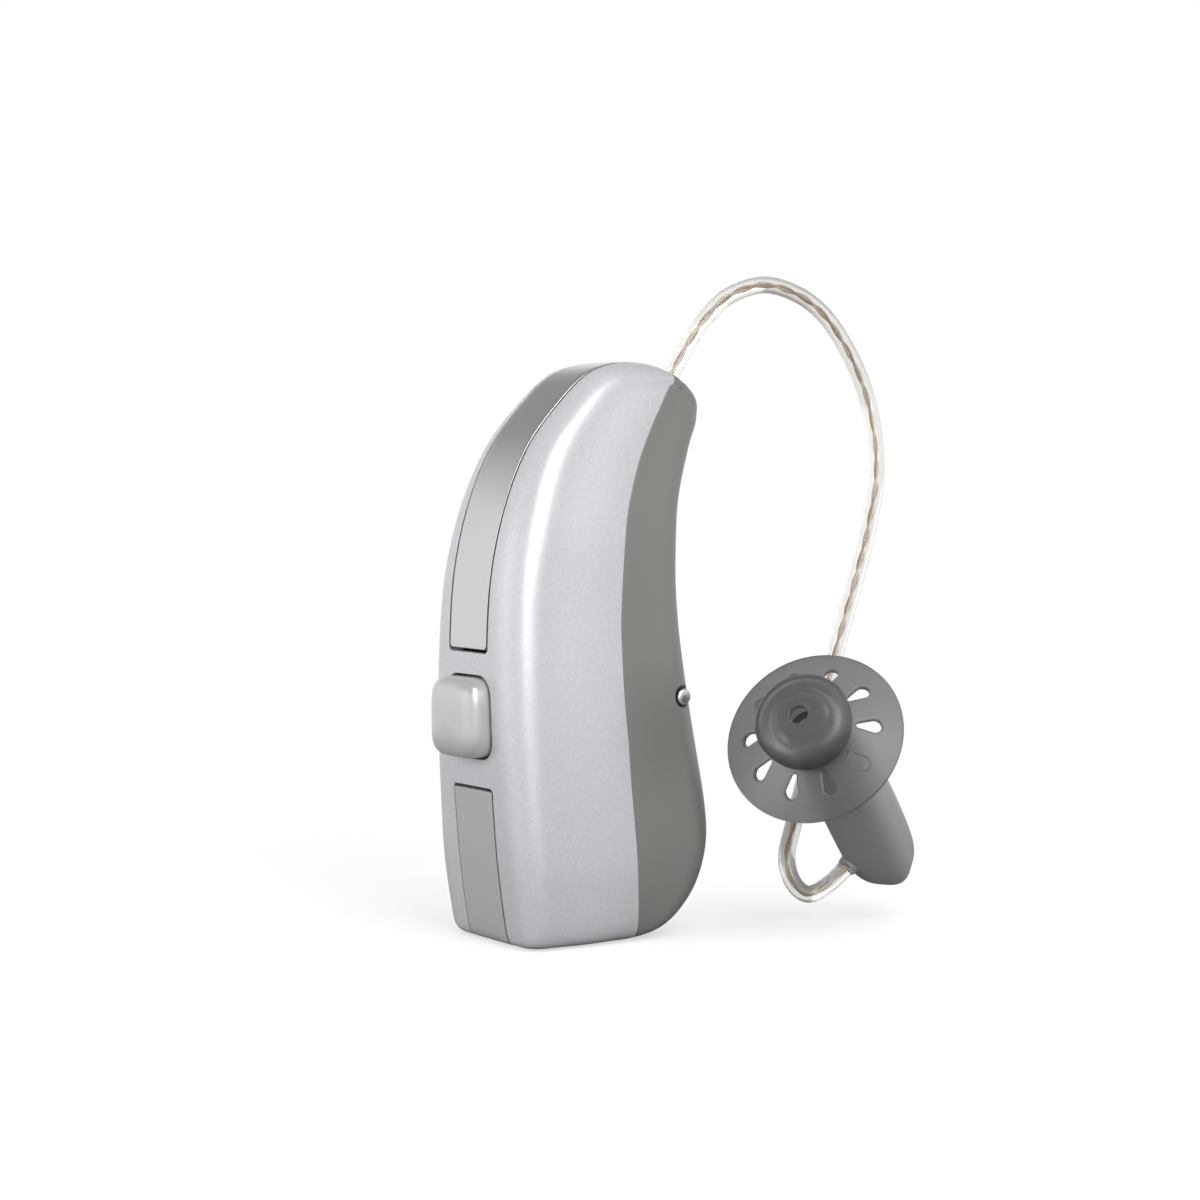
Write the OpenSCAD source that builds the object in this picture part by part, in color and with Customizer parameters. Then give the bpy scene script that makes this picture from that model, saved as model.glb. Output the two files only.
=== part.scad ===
// Behind-the-ear hearing aid, receiver in the ear canal.
// X forward to the ear, Y across the body, Z up. Origin: the ear rest, deepest point of the front.
// Node to draw, or all of them

/* [Body] */
// height of the body, bottom of the drawer to the top
body_h = 30; // [26:0.1:34]
// thickness of the body at its widest place
body_t = 8.8; // [7.8:0.1:10]
// wall of the shell and of the front frame
wall_t = 0.8; // [0.6:0.05:1]
// play between a moving moulding and the moulding round it
gap = 0.1; // [0.08:0.01:0.15]
// roundness of the side faces, how far they bulge
crown = 0.14; // [0:0.01:0.3]

/* [Covers and button] */
// width of the two covers let into the spine
strip_w = 3.8; // [3:0.1:4.4]
// thickness of the microphone cover
cover_t = 0.45; // [0.35:0.05:0.6]
// width and height of the push button
button_w = 4.1; // [3.4:0.1:4.6]
// corner radius of the push button
button_r = 1; // [0.6:0.1:1.6]
// how far the push button stands off the spine
button_rise = 0.95; // [0.5:0.05:1.4]
// travel of the push button
button_travel = 0.3; // [0.2:0.05:0.4]

/* [Battery] */
// diameter of the size 312 cell
cell_d = 7.9; // [7.8:0.05:7.9]
// height of the size 312 cell
cell_h = 3.6; // [3.5:0.05:3.6]
// play of the cell in its ring
cell_play = 0.05; // [0.03:0.01:0.1]
// wall of the ring that carries the cell
ring_t = 0.35; // [0.3:0.05:0.6]
// width of the drawer between the cheeks
drawer_w = 4.9; // [4.5:0.1:5.2]
// diameter of the hinge pin
pin_d = 0.75; // [0.6:0.05:1]
// running play round the hinge pin, on the radius
pin_play = 0.04; // [0.02:0.01:0.08]
// diameter of the recess at the pin's ends
pin_recess_d = 1.15; // [1:0.05:1.4]

/* [Ear wire and receiver] */
// outer diameter of the ear wire
wire_d = 0.92; // [0.8:0.02:1.2]
// diameter of the core inside the ear wire
core_d = 0.34; // [0.2:0.02:0.5]
// diameter of the plug in the nose
plug_d = 1.9; // [1.6:0.1:2.2]
// width of the receiver's case
case_w = 3.6; // [3.2:0.1:4.2]
// thickness of the receiver's case
case_t = 3.2; // [2.8:0.1:3.8]
// length of the receiver's case
case_len = 11.8; // [10:0.1:13]
// outer diameter of the sound spout
spout_d = 2; // [1.6:0.1:2.4]
// bore of the sound spout
spout_bore_d = 1.2; // [1:0.1:1.4]

/* [Ear dome] */
// diameter of the dome's brim
dome_d = 9.6; // [7:0.1:12]
// diameter of the dome's crown
crown_d = 4.95; // [4.4:0.1:6]
// thickness of the soft wall
dome_t = 0.42; // [0.3:0.02:0.6]
// height of the crown over the rim
crown_h = 2.2; // [1.8:0.1:3]
// number of vent slots
vents = 10; // [6:1:12]

/* [Hidden] */
$fn = 32;
shell_c = [0.79, 0.79, 0.81];
frame_c = [0.54, 0.53, 0.52];
cover_c = [0.72, 0.71, 0.70];
strip_c = [0.6, 0.6, 0.6];
button_c = [0.75, 0.75, 0.75];
metal_c = [0.8, 0.8, 0.78];
gold_c = [0.83, 0.66, 0.35];
green_c = [0.1, 0.33, 0.2];
black_c = [0.1, 0.1, 0.1];
clear_c = [0.9, 0.88, 0.83];
case_c = [0.48, 0.48, 0.48];
dome_c = [0.4, 0.4, 0.4];

// Stations up the body as shares of its height: spine x, spine z, front x, front z
station_shares = [
  [-0.308, -0.613, -0.097, -0.613],
  [-0.321, -0.605, -0.053, -0.603],
  [-0.328, -0.58, -0.012, -0.58],
  [-0.335, -0.537, 0.027, -0.537],
  [-0.342, -0.487, 0.048, -0.487],
  [-0.348, -0.43, 0.056, -0.43],
  [-0.354, -0.353, 0.047, -0.353],
  [-0.36, -0.267, 0.031, -0.267],
  [-0.364, -0.167, 0.015, -0.167],
  [-0.363, -0.073, 0.004, -0.073],
  [-0.356, 0.013, 0, 0.007],
  [-0.34, 0.092, 0.003, 0.08],
  [-0.313, 0.173, 0.014, 0.147],
  [-0.275, 0.245, 0.032, 0.2],
  [-0.227, 0.302, 0.048, 0.237],
  [-0.17, 0.355, 0.063, 0.262],
  [-0.113, 0.378, 0.071, 0.277],
  [-0.057, 0.382, 0.074, 0.29],
  [-0.01, 0.373, 0.073, 0.303],
  [0.008, 0.362, 0.065, 0.317]];
// Half thickness at the stations as shares of the thickness
half_shares = [0.4, 0.455, 0.483, 0.494, 0.5, 0.498, 0.492, 0.483, 0.47, 0.455,
  0.445, 0.434, 0.41, 0.386, 0.366, 0.347, 0.335, 0.324, 0.3125, 0.26];
// Corner radii at the stations as shares of the thickness, spine then front
spine_r_shares = [0.1, 0.12, 0.136, 0.145, 0.15, 0.155, 0.165, 0.175, 0.185, 0.19,
  0.195, 0.2, 0.195, 0.185, 0.175, 0.17, 0.165, 0.16, 0.15, 0.12];
front_r_shares = [0.1, 0.13, 0.15, 0.16, 0.16, 0.16, 0.16, 0.16, 0.16, 0.16,
  0.16, 0.16, 0.165, 0.17, 0.18, 0.19, 0.2, 0.2, 0.19, 0.15];
// Line between shell and front frame as shares of the height, from the bottom up
seam_shares = [[-0.107, -0.64], [-0.108, -0.6], [-0.113, -0.52], [-0.118, -0.44],
  [-0.127, -0.34], [-0.131, -0.27], [-0.137, -0.2], [-0.14, -0.12], [-0.14, -0.06],
  [-0.135, 0.01], [-0.129, 0.07], [-0.12, 0.123], [-0.107, 0.165], [-0.092, 0.205],
  [-0.075, 0.24], [-0.055, 0.275], [-0.033, 0.31], [-0.013, 0.34], [0, 0.352], [0.004, 0.42]];

last = len(station_shares) - 1;
steps = 2;
rmin = wall_t * 0.4;
far = body_h;
// Hinge pin place as shares of the height
pin_x = -0.0093 * body_h;
pin_z = -0.1975 * body_h;
open_r = 1.25;
knuckle_r = pin_d / 2 + 0.5;
// Cell place as shares of the height
cell_x = -0.15 * body_h;
cell_z = -0.41 * body_h;
cell_r = cell_d / 2;
ring_r = cell_r + cell_play + ring_t;
floor_share = 2 / 19;
nose_share = 17 / 19;
floor_u = floor_share * last;
nose_u = nose_share * last;
// Button place: a share of the height, or higher where the cell leaves too little room under it
seal_room = 0.3;
flange_w = button_w + 0.6;
seal_w = flange_w + 0.4;
seal_t = 0.3;
seal_half = seal_w / 2 + seal_t;
board_back = -0.277 * body_h;
button_z = max(-0.2235 * body_h, cell_z + seal_half
  + sqrt(pow(ring_r + seal_room, 2) - pow(cell_x - board_back, 2)));
spine_x = -0.3625 * body_h;
flange_t = 0.35;
seat = 0.18;
button_in = spine_x + wall_t + seat;
stem_d = 1.2;
stem_l = 0.3;
// Stack behind the button: dome, base, board, chips, chassis
dome_top = button_in + flange_t + stem_l + button_travel + 0.03;
snap_h = 0.2;
base_x = dome_top + snap_h;
base_t = 0.5;
base_w = 2.7;
board_x = base_x + base_t;
board_t = 0.4;
board_w = 5.2;
board_lo = -0.245 * body_h;
board_hi = 0.09 * body_h;
chip_t = 0.8;
chassis_x = board_x + board_t + chip_t;
chassis_w = 4.4;
chassis_lo = -0.15 * body_h;
chassis_hi = 0.17 * body_h;
// Plug axis: a point on it as shares of the height, and its lean from upright
plug_x = 0.034 * body_h;
plug_z = 0.325 * body_h;
plug_lean = 33;
plug_out = 0.5;
plug_in = 2.7;
socket_w = 2.8;
socket_in = 3.5;
socket_out = 1.15;
pin_l = 0.7;
// Route of the ear wire from the plug to the receiver, chosen by hand
wire_start = [plug_x + plug_out * sin(plug_lean), 0, plug_z + plug_out * cos(plug_lean)];
wire_route = [wire_start, [1.9, 0, 11.1], [3.1, 0, 12.85], [4.3, 0, 14.2], [5.8, 0, 15.3],
  [8.1, 0, 15.9], [10.5, 0, 15.4], [12.3, 0, 14.3], [13.8, 0, 12.6], [14.95, -0.05, 10.6],
  [15.55, -0.3, 8.2], [15.4, -0.75, 5.4], [14.25, -1.4, 2.45], [12.8, -2, -0.55], [11.05, -2.55, -4.2],
  [9.3, -3, -8.7], [7.6, -3.45, -12.9], [6.65, -3.95, -14.85], [6.75, -4.35, -16.2],
  [7.55, -4.65, -16.9], [8.65, -4.95, -16.45], [9.8, -5.1, -15.6]];
wire_steps = 3;
// Dome: middle of its rim, tilt and turn of its axis
dome_at = [4.3, -9.35, -8];
dome_tilt = 61;
dome_turn = 213;
// Receiver: tilt and turn of the case, which bends off the spout
case_tilt = 50;
case_turn = 209;
neck = 0.75;
slot_in = 2.96;
slot_out = 4.17;
boot_r = 0.72;
boot_out = 0.15;
boot_in = 1;

function unit(v) = v / norm(v);
function spline(p, u) = let (
  n = len(p), k = min(floor(u), n - 2), f = u - k,
  a = p[max(k - 1, 0)], b = p[k], c = p[k + 1], d = p[min(k + 2, n - 1)])
  (2 * b + (c - a) * f + (2 * a - 5 * b + 4 * c - d) * f * f
  + (3 * b - a - 3 * c + d) * f * f * f) / 2;
function stations() = [for (k = [0:last]) concat(station_shares[k] * body_h,
  [half_shares[k] * body_t, spine_r_shares[k] * body_t, front_r_shares[k] * body_t])];
S = stations();
function spine_p(s) = [s[0], s[1]];
function front_p(s) = [s[2], s[3]];
function half_ring(l, h, rb, rf, c) = concat(
  [for (k = [0:2]) [0, k * (h - rb) / 2]],
  [for (k = [1:5]) [rb - rb * cos(k * 18), h - rb + rb * sin(k * 18)]],
  [for (k = [1:2]) [rb + k * (l - rb - rf) / 3, h + c]],
  [for (k = [0:4]) [l - rf + rf * sin(k * 22.5), h - rf + rf * cos(k * 22.5)]],
  [[l, 0]]);
function ring(s, i) = let (
  a = spine_p(s), b = front_p(s), d = unit(b - a), o = a + d * i,
  g = half_ring(norm(b - a) - 2 * i, s[4] - i, max(s[5] - i, rmin), max(s[6] - i, rmin), crown),
  n = len(g))
  concat([for (k = [0:n - 1]) [o[0] + d[0] * g[k][0], -g[k][1], o[1] + d[1] * g[k][0]]],
  [for (k = [n - 2:-1:1]) [o[0] + d[0] * g[k][0], g[k][1], o[1] + d[1] * g[k][0]]]);

// A closed solid through a list of rings of points
module rings_solid(rings) {
  m = len(rings);
  n = len(rings[0]);
  pts = [for (r = rings) for (p = r) p];
  sides = [for (k = [0:m - 2]) for (j = [0:n - 1]) let (a = k * n + j, b = k * n + (j + 1) % n)
    each [[a, a + n, b + n], [a, b + n, b]]];
  e = (m - 1) * n;
  ends = [for (j = [0:n - 1]) let (q = (j + 1) % n) each [[m * n, j, q], [m * n + 1, e + q, e + j]]];
  polyhedron(concat(pts, [middle(rings[0]), middle(rings[m - 1])]), concat(sides, ends));
}
function middle(r) = [for (k = [0:len(r) - 1]) 1] * r / len(r);

// The body's form, taken in from its skin by i, between two stations
module body(i, u0, u1) {
  m = ceil((u1 - u0) * steps);
  rings_solid([for (k = [0:m]) ring(spline(S, u0 + (u1 - u0) * k / m), i)]);
}

// A flat outline in X and Z, spread across Y
module slab(w) {
  rotate([90, 0, 0])
    linear_extrude(w, center = true)
      children();
}

// A round bar along Y
module ybar(x, z, r, w) {
  translate([x, 0, z])
    rotate([90, 0, 0])
      cylinder(r = r, h = w, center = true);
}

// A box given by its low corner and its high corner
module box(a, b) {
  translate(a)
    cube(b - a);
}

// Points of the spine's skin across Y, at depth i under it
function skin_row(s, w, i, back) = let (
  a = spine_p(s), d = unit(front_p(s) - a), f = s[4] - s[5], r = s[5],
  q = [for (k = [-2:2]) (back ? -1 : 1) * k * w / 4])
  [for (y = q) let (e = max(abs(y) - f, 0), g = i + r - sqrt(r * r - e * e))
    [a[0] + d[0] * g, y, a[1] + d[1] * g]];

// A strip of the spine's skin between two stations, from depth i0 to depth i1
module spine_strip(u0, u1, w, i0, i1) {
  m = ceil((u1 - u0) * steps);
  rings_solid([for (k = [0:m]) let (s = spline(S, u0 + (u1 - u0) * k / m))
    concat(skin_row(s, w, i0, true), skin_row(s, w, i1, false))]);
}

// Everything in front of the seam
module front_side() {
  slab(far)
    polygon(concat(seam_shares * body_h, [[far, 0.42 * body_h], [far, -0.64 * body_h]]));
}

// Rounded square across the button's axis, which is X
module pad(x0, x1, w, r) {
  translate([x0, 0, button_z])
    rotate([0, 90, 0])
      linear_extrude(x1 - x0)
        offset(r)
          square(w - 2 * r, center = true);
}

// Station on the spine at a height
function station_at(z) = lookup(z / body_h, [for (k = [2:16]) [station_shares[k][1], k]]);
cover_room = 1.385;
strip_room = 1.7;
cover_share = 0.858;
cover_lo = station_at(button_z + button_w / 2 + cover_room);
cover_hi = cover_share * last;
strip_lo = 0;
strip_hi = station_at(button_z - button_w / 2 - strip_room);
notch = gap / body_h * last;

module outer_shell() {
  color(shell_c)
    union() {
      difference() {
        body(0, 0, last);
        body(wall_t, floor_u, nose_u);
        front_side();
        spine_strip(cover_lo - notch, cover_hi + notch, strip_w, -wall_t, cover_t);
        spine_strip(strip_lo, strip_hi + notch, strip_w, -wall_t, wall_t + gap * 3);
        pad(spine_x - far, spine_x + wall_t * 2, button_w + 2 * gap, button_r + gap);
        box([S[2][0] + wall_t + gap, -drawer_w / 2 - gap, -far], [far, drawer_w / 2 + gap, S[2][1] + gap]);
        box([S[0][0] - wall_t, -strip_w / 2, -far], [S[2][0] + wall_t * 2, strip_w / 2, S[2][1]]);
        at_skin(rear_u)
          cylinder(r = port_r, h = wall_t * 4, center = true);
        at_skin(front_u)
          cylinder(r = port_r, h = wall_t * 4, center = true);
        on_plug()
          cylinder(r = plug_d / 2 + gap, h = far, center = true, $fn = 28);
      }
      shell_ribs();
    }
}

// Ribs inside the shell that carry the frame's edge
module shell_ribs() {
  for (s = [-1, 1], z = [-0.33, -0.2, -0.07, 0.06])
    translate([-0.19 * body_h, s * (rib_y(z) + wall_t * 0.35), z * body_h])
      hull() {
        cube([wall_t, wall_t, wall_t * 3], center = true);
        translate([-wall_t, 0, 0])
          cube([wall_t * 0.6, wall_t, wall_t * 2], center = true);
      }
}
function rib_y(z) = body_t * (0.445 - z * 0.11) - wall_t;

// Frame at a microphone's port: Z out of the skin, at the spine
rear_share = 0.534;
front_share = 0.784;
rear_u = rear_share * last;
front_u = front_share * last;
port_r = 0.55;
module at_skin(u) {
  s = spline(S, u);
  t = unit(spine_p(spline(S, u + 0.3)) - spine_p(spline(S, u - 0.3)));
  translate([s[0], 0, s[1]])
    rotate([0, -90 + atan2(t[0], t[1]), 0])
      children();
}

module front_frame() {
  color(frame_c)
    union() {
      difference() {
        intersection() {
          body(0, 0, last);
          front_side();
        }
        body(wall_t, floor_u, nose_u);
        slab(drawer_w + 2 * gap)
          union() {
            translate([pin_x, pin_z])
              circle(open_r);
            polygon([[-far, -far], [far, -far], [far, pin_z], [-far, pin_z]]);
          }
        ybar(pin_x, pin_z, pin_d / 2, far);
        for (s = [-1, 1])
          translate([pin_x, s * (pin_y + far / 2), pin_z])
            rotate([90, 0, 0])
              cylinder(d = pin_recess_d, h = far, center = true);
        on_plug()
          cylinder(d = plug_d, h = far, center = true, $fn = 28);
      }
      frame_bosses();
      frame_ribs();
    }
}
pin_y = body_t * 0.422;
boss_h = body_t / 2 - drawer_w / 2 - gap - wall_t * 0.65;

// Bosses that bear the pin inside the cheeks
module frame_bosses() {
  for (s = [-1, 1])
    difference() {
      translate([pin_x, s * (drawer_w / 2 + gap), pin_z])
        rotate([-s * 90, 0, 0])
          rotate([0, 0, 3])
            cylinder(r1 = pin_d, r2 = pin_d * 1.2, h = boss_h, $fn = 28);
      ybar(pin_x, pin_z, pin_d / 2, far);
    }
}

// Guide rails on the insides of the cheeks
module frame_ribs() {
  for (s = [-1, 1], z = [-0.515, -0.456, -0.397, -0.326])
    translate([-0.063 * body_h, s * (body_t / 2 - wall_t - wall_t * 0.05), z * body_h])
      hull() {
        cube([wall_t, wall_t * 0.6, wall_t], center = true);
        translate([wall_t * 0.9, 0, 0])
          cube([wall_t, wall_t * 0.6, wall_t * 0.5], center = true);
      }
}

// Frame on the plug's axis
module on_plug() {
  translate([plug_x, 0, plug_z])
    rotate([0, plug_lean, 0])
      children();
}

module mic_cover() {
  color(cover_c)
    spine_strip(cover_lo, cover_hi, strip_w - 2 * gap, -gap * 0.3, cover_t);
}

module battery_drawer() {
  color(strip_c)
    union() {
      difference() {
        union() {
          intersection() {
            body(0, 0, last);
            slab(drawer_w)
              drawer_front();
          }
          intersection() {
            body(wall_t + gap * 2, 0.3, 12);
            slab(drawer_w)
              drawer_low();
          }
          spine_strip(strip_lo, strip_hi, strip_w - 2 * gap, 0, wall_t + gap * 4);
          ybar(cell_x, cell_z, ring_r, cell_h);
          ybar(pin_x, pin_z, knuckle_r, drawer_w);
          drawer_webs();
        }
        ybar(cell_x, cell_z, cell_r + cell_play, cell_h + 2 * cell_play);
        ybar(pin_x, pin_z, pin_d / 2 + pin_play, far);
      }
      drawer_grips();
    }
}

// The drawer's own share of the front skin and the bottom, seen from the side
module drawer_front() {
  difference() {
    polygon([[S[2][0] + wall_t + gap * 2, -far], [far, -far], [far, pin_z + wall_t * 0.2], [pin_x - wall_t * 0.2, pin_z],
      [pin_x - wall_t * 0.2, pin_z - wall_t], [S[5][2] - wall_t * 1.6, S[5][1]], [S[2][2] - wall_t, S[2][1]],
      [S[2][0] + wall_t + gap * 2, S[2][1]]]);
    translate([cell_x, cell_z])
      circle(cell_r);
  }
}

// The block under the cell
module drawer_low() {
  polygon([[-far, -far], [far, -far], [far, cell_z - cell_r * 0.5], [-far, cell_z - cell_r * 0.5]]);
}

// Webs that tie the ring to the front wall and to the rear strip
module drawer_webs() {
  for (s = [-1, 1])
    translate([0, s * (cell_h / 2 - wall_t * 0.4), 0]) {
      hull() {
        ybar(pin_x - wall_t * 0.2, pin_z - wall_t * 0.3, wall_t * 0.4, wall_t * 0.8);
        ybar(cell_x + ring_r * 0.75, cell_z + ring_r * 0.55, wall_t * 0.4, wall_t * 0.8);
      }
      hull() {
        ybar(cell_x - ring_r * 0.8, cell_z + ring_r * 0.3, wall_t * 0.3, wall_t * 0.8);
        ybar(S[6][0] + wall_t * 1.2, cell_z + ring_r * 0.3, wall_t * 0.3, wall_t * 0.8);
      }
    }
}

// Grip ridges for a fingernail on the bottom
module drawer_grips() {
  for (k = [0:4])
    hull() {
      for (s = [-1, 1])
        translate([S[1][2] - wall_t * (1.4 + k * 0.9), s * drawer_w * 0.32, S[0][1] + wall_t * 0.12])
          sphere(r = wall_t * 0.22, $fn = 12);
    }
}

module drawer_pin() {
  color(metal_c)
    ybar(pin_x, pin_z, pin_d / 2, 2 * pin_y);
}

module push_button() {
  color(button_c) {
    hull() {
      pad(spine_x - button_rise * 0.45, button_in + flange_t * 0.5, button_w, button_r);
      pad(spine_x - button_rise * 0.75, spine_x, button_w * 0.9, button_r * 0.95);
      pad(spine_x - button_rise, spine_x, button_w * 0.64, button_r * 0.85);
    }
    pad(button_in, button_in + flange_t, flange_w, button_r);
    translate([button_in + flange_t, 0, button_z])
      rotate([0, 90, 0])
        cylinder(d = stem_d, h = stem_l);
  }
}

module button_seal() {
  color(black_c)
    difference() {
      pad(button_in + seat, board_x, seal_w + 2 * seal_t, button_r);
      pad(button_in - far, board_x + far, seal_w, button_r);
    }
}

module switch_base() {
  color(black_c)
    translate([base_x, -base_w / 2, button_z - base_w / 2])
      cube([base_t, base_w, base_w]);
}

module switch_dome() {
  color(metal_c)
    translate([base_x, 0, button_z])
      rotate([0, -90, 0])
        cylinder(r1 = base_w * 0.42, r2 = stem_d * 0.35, h = snap_h);
}

module circuit_board() {
  color(green_c)
    difference() {
      box([board_x, -board_w / 2, board_lo], [board_x + board_t, board_w / 2, board_hi]);
      for (s = [-1, 1], z = [board_lo, board_hi])
        translate([board_x, s * board_w / 2, z])
          rotate([0, 90, 0])
            cylinder(r = board_t, h = 3 * board_t, center = true);
    }
}

chip_x = board_x + board_t;
signal_w = 3.4;
radio_w = 2;
capacitor_w = 1.5;
module chip(z0, z1, w, t) {
  box([chip_x, -w / 2, z0 * body_h], [chip_x + t, w / 2, z1 * body_h]);
}
module signal_chip() {
  color(black_c)
    chip(-0.115, 0.01, signal_w, chip_t);
}
module radio_chip() {
  color(black_c)
    chip(0.028, 0.068, radio_w, chip_t);
}
module capacitor() {
  color(gold_c)
    chip(-0.165, -0.13, capacitor_w, chip_t * 0.9);
}

// Moulded carrier between the board and the front frame
tele_x = -0.15 * body_h;
tele_lo = -0.1 * body_h;
tele_hi = 0.11 * body_h;
tele_r = 0.8;
module chassis() {
  color(black_c)
    difference() {
      intersection() {
        body(wall_t, 8, 14);
        box([chassis_x, -chassis_w / 2, chassis_lo], [far, chassis_w / 2, chassis_hi]);
      }
      box([tele_x - tele_r, -tele_r, tele_lo], [tele_x + tele_r, far, tele_hi]);
    }
}
module telecoil_core() {
  color(metal_c)
    translate([tele_x, 0, tele_lo])
      cylinder(r = tele_r * 0.45, h = tele_hi - tele_lo);
}
module telecoil_winding() {
  color(gold_c)
    translate([tele_x, 0, tele_lo + tele_r])
      difference() {
        cylinder(r = tele_r, h = tele_hi - tele_lo - 2 * tele_r);
        translate([0, 0, -tele_r])
          cylinder(r = tele_r * 0.45, h = tele_hi - tele_lo);
      }
}

// Copper loop laid over the carrier's sides and top
ant_t = 0.15;
module antenna() {
  color(gold_c)
    difference() {
      box([chassis_x + wall_t, -chassis_w / 2 - ant_t, -0.06 * body_h],
        [-0.08 * body_h, chassis_w / 2 + ant_t, chassis_hi + ant_t]);
      box([-far, -chassis_w / 2, -far], [far, chassis_w / 2, chassis_hi]);
      box([chassis_x + 2 * wall_t, -far, -0.03 * body_h],
        [-0.11 * body_h, far, chassis_hi - wall_t]);
    }
}

mic_l = 2.4;
mic_w = 1.9;
mic_h = 0.85;
mic_gap = wall_t + 0.05;
gasket_t = 0.35;
gasket_r = 0.95;
module gasket() {
  translate([0, 0, -mic_gap - gasket_t])
    difference() {
      cylinder(r = gasket_r, h = gasket_t);
      translate([0, 0, -gasket_t])
        cylinder(r = port_r, h = 3 * gasket_t);
    }
}
module mic_screen() {
  translate([0, 0, -cover_t - ant_t])
    cylinder(r = port_r, h = ant_t);
}
module microphone() {
  difference() {
    translate([-mic_l / 2, -mic_w / 2, -mic_gap - gasket_t - mic_h])
      cube([mic_l, mic_w, mic_h]);
    translate([0, 0, -mic_gap - gasket_t - mic_h * 0.3])
      cylinder(r = port_r * 0.5, h = mic_h);
  }
}
module front_microphone() {
  color(metal_c)
    at_skin(front_u)
      microphone();
}
module rear_microphone() {
  color(metal_c)
    at_skin(rear_u)
      microphone();
}
module front_mic_gasket() {
  color(black_c)
    at_skin(front_u)
      gasket();
}
module rear_mic_gasket() {
  color(black_c)
    at_skin(rear_u)
      gasket();
}
module front_mic_screen() {
  color(metal_c)
    at_skin(front_u)
      mic_screen();
}
module rear_mic_screen() {
  color(metal_c)
    at_skin(rear_u)
      mic_screen();
}

// Flexible strip from the board's top to the front microphone
flex_w = 1.6;
function under_mic(u) = let (s = spline(S, u),
  t = unit(spine_p(spline(S, u + 0.3)) - spine_p(spline(S, u - 0.3))))
  spine_p(s) + [t[1], -t[0]] * (mic_gap + gasket_t + mic_h);
module flex_strip() {
  m = under_mic(front_u);
  s = spline(S, front_u);
  n = unit(m - spine_p(s));
  a = m + n * ant_t - [n[1], -n[0]] * mic_l * 0.45;
  b = m + n * ant_t + [n[1], -n[0]] * mic_l * 0.45;
  low = [chip_x, board_hi - wall_t * 0.6];
  color(gold_c)
    slab(flex_w)
      polygon([low, low + [ant_t, 0], [low[0] + ant_t, board_hi + wall_t], [low[0] + wall_t, board_hi + wall_t * 4],
        b + n * ant_t * 0.1, a, a - n * ant_t, b - n * ant_t,
        [low[0] + wall_t - ant_t, board_hi + wall_t * 4], [low[0], board_hi + wall_t]]);
}

// Frame on the cell's axis: Z along Y, toward the lid
module on_cell() {
  translate([cell_x, 0, cell_z])
    rotate([-90, 0, 0])
      children();
}
lid_r = cell_r * 0.83;
crimp_r = cell_r * 0.88;
module cell_can() {
  color(metal_c)
    on_cell()
      difference() {
        translate([0, 0, -cell_h / 2])
          cylinder(r = cell_r, h = cell_h * 0.86);
        translate([0, 0, cell_h * 0.25])
          cylinder(r = crimp_r, h = cell_h);
        for (k = [0:3])
          rotate([0, 0, 45 + 90 * k])
            translate([cell_r * 0.4, 0, -cell_h / 2])
              cylinder(r = cell_r * 0.045, h = cell_h * 0.1, center = true);
      }
}
module cell_grommet() {
  color(black_c)
    on_cell()
      translate([0, 0, cell_h * 0.25])
        difference() {
          cylinder(r = crimp_r, h = cell_h * 0.16);
          translate([0, 0, -cell_h])
            cylinder(r = lid_r, h = 2 * cell_h);
        }
}
module cell_lid() {
  color(metal_c)
    on_cell()
      translate([0, 0, cell_h * 0.25])
        cylinder(r = lid_r, h = cell_h * 0.25);
}

// Leaf springs on the board, either side of the cell
leaf_t = 0.15;
leaf_gap = 0.15;
module leaf() {
  linear_extrude(leaf_t)
    polygon([[chip_x, -0.24 * body_h], [chip_x, -0.185 * body_h], [-0.21 * body_h, -0.2 * body_h],
      [-0.155 * body_h, -0.27 * body_h], [-0.15 * body_h, -0.33 * body_h], [-0.18 * body_h, -0.33 * body_h],
      [-0.19 * body_h, -0.27 * body_h], [-0.225 * body_h, -0.235 * body_h]]);
}
module contact_plus() {
  color(metal_c)
    translate([0, -cell_h / 2 - leaf_gap, 0])
      rotate([90, 0, 0])
        leaf();
}
module contact_minus() {
  color(metal_c)
    translate([0, cell_h / 2 + leaf_gap + leaf_t, 0])
      rotate([90, 0, 0])
        leaf();
}

module plug_socket() {
  color(black_c)
    difference() {
      intersection() {
        on_plug()
          translate([-socket_w / 2, -socket_w / 2, -socket_in])
            cube([socket_w, socket_w, socket_in - socket_out]);
        body(wall_t, 12, 17);
      }
      on_plug()
        translate([0, 0, -plug_in])
          cylinder(d = plug_d, h = far);
      on_plug()
        plug_prongs();
    }
}
module plug_prongs() {
  for (k = [0:2])
    rotate([0, 0, 120 * k])
      translate([plug_d * 0.25, 0, -plug_in - pin_l])
        cylinder(r = plug_d * 0.08, h = pin_l + 0.3 * pin_l);
}
module plug_pins() {
  color(gold_c)
    on_plug() {
      plug_prongs();
      translate([0, 0, -plug_in])
        cylinder(r = plug_d * 0.42, h = pin_l * 0.4);
    }
}
module ear_plug() {
  color(case_c)
    on_plug()
      difference() {
        union() {
          translate([0, 0, -plug_in])
            cylinder(d = plug_d, h = plug_in + plug_out * 0.5);
          translate([0, 0, plug_out * 0.5])
            cylinder(d1 = plug_d, d2 = wire_d * 1.2, h = plug_out * 0.5);
        }
        translate([0, 0, -plug_in - pin_l])
          cylinder(r = plug_d * 0.42, h = pin_l * 1.4);
      }
}

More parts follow.
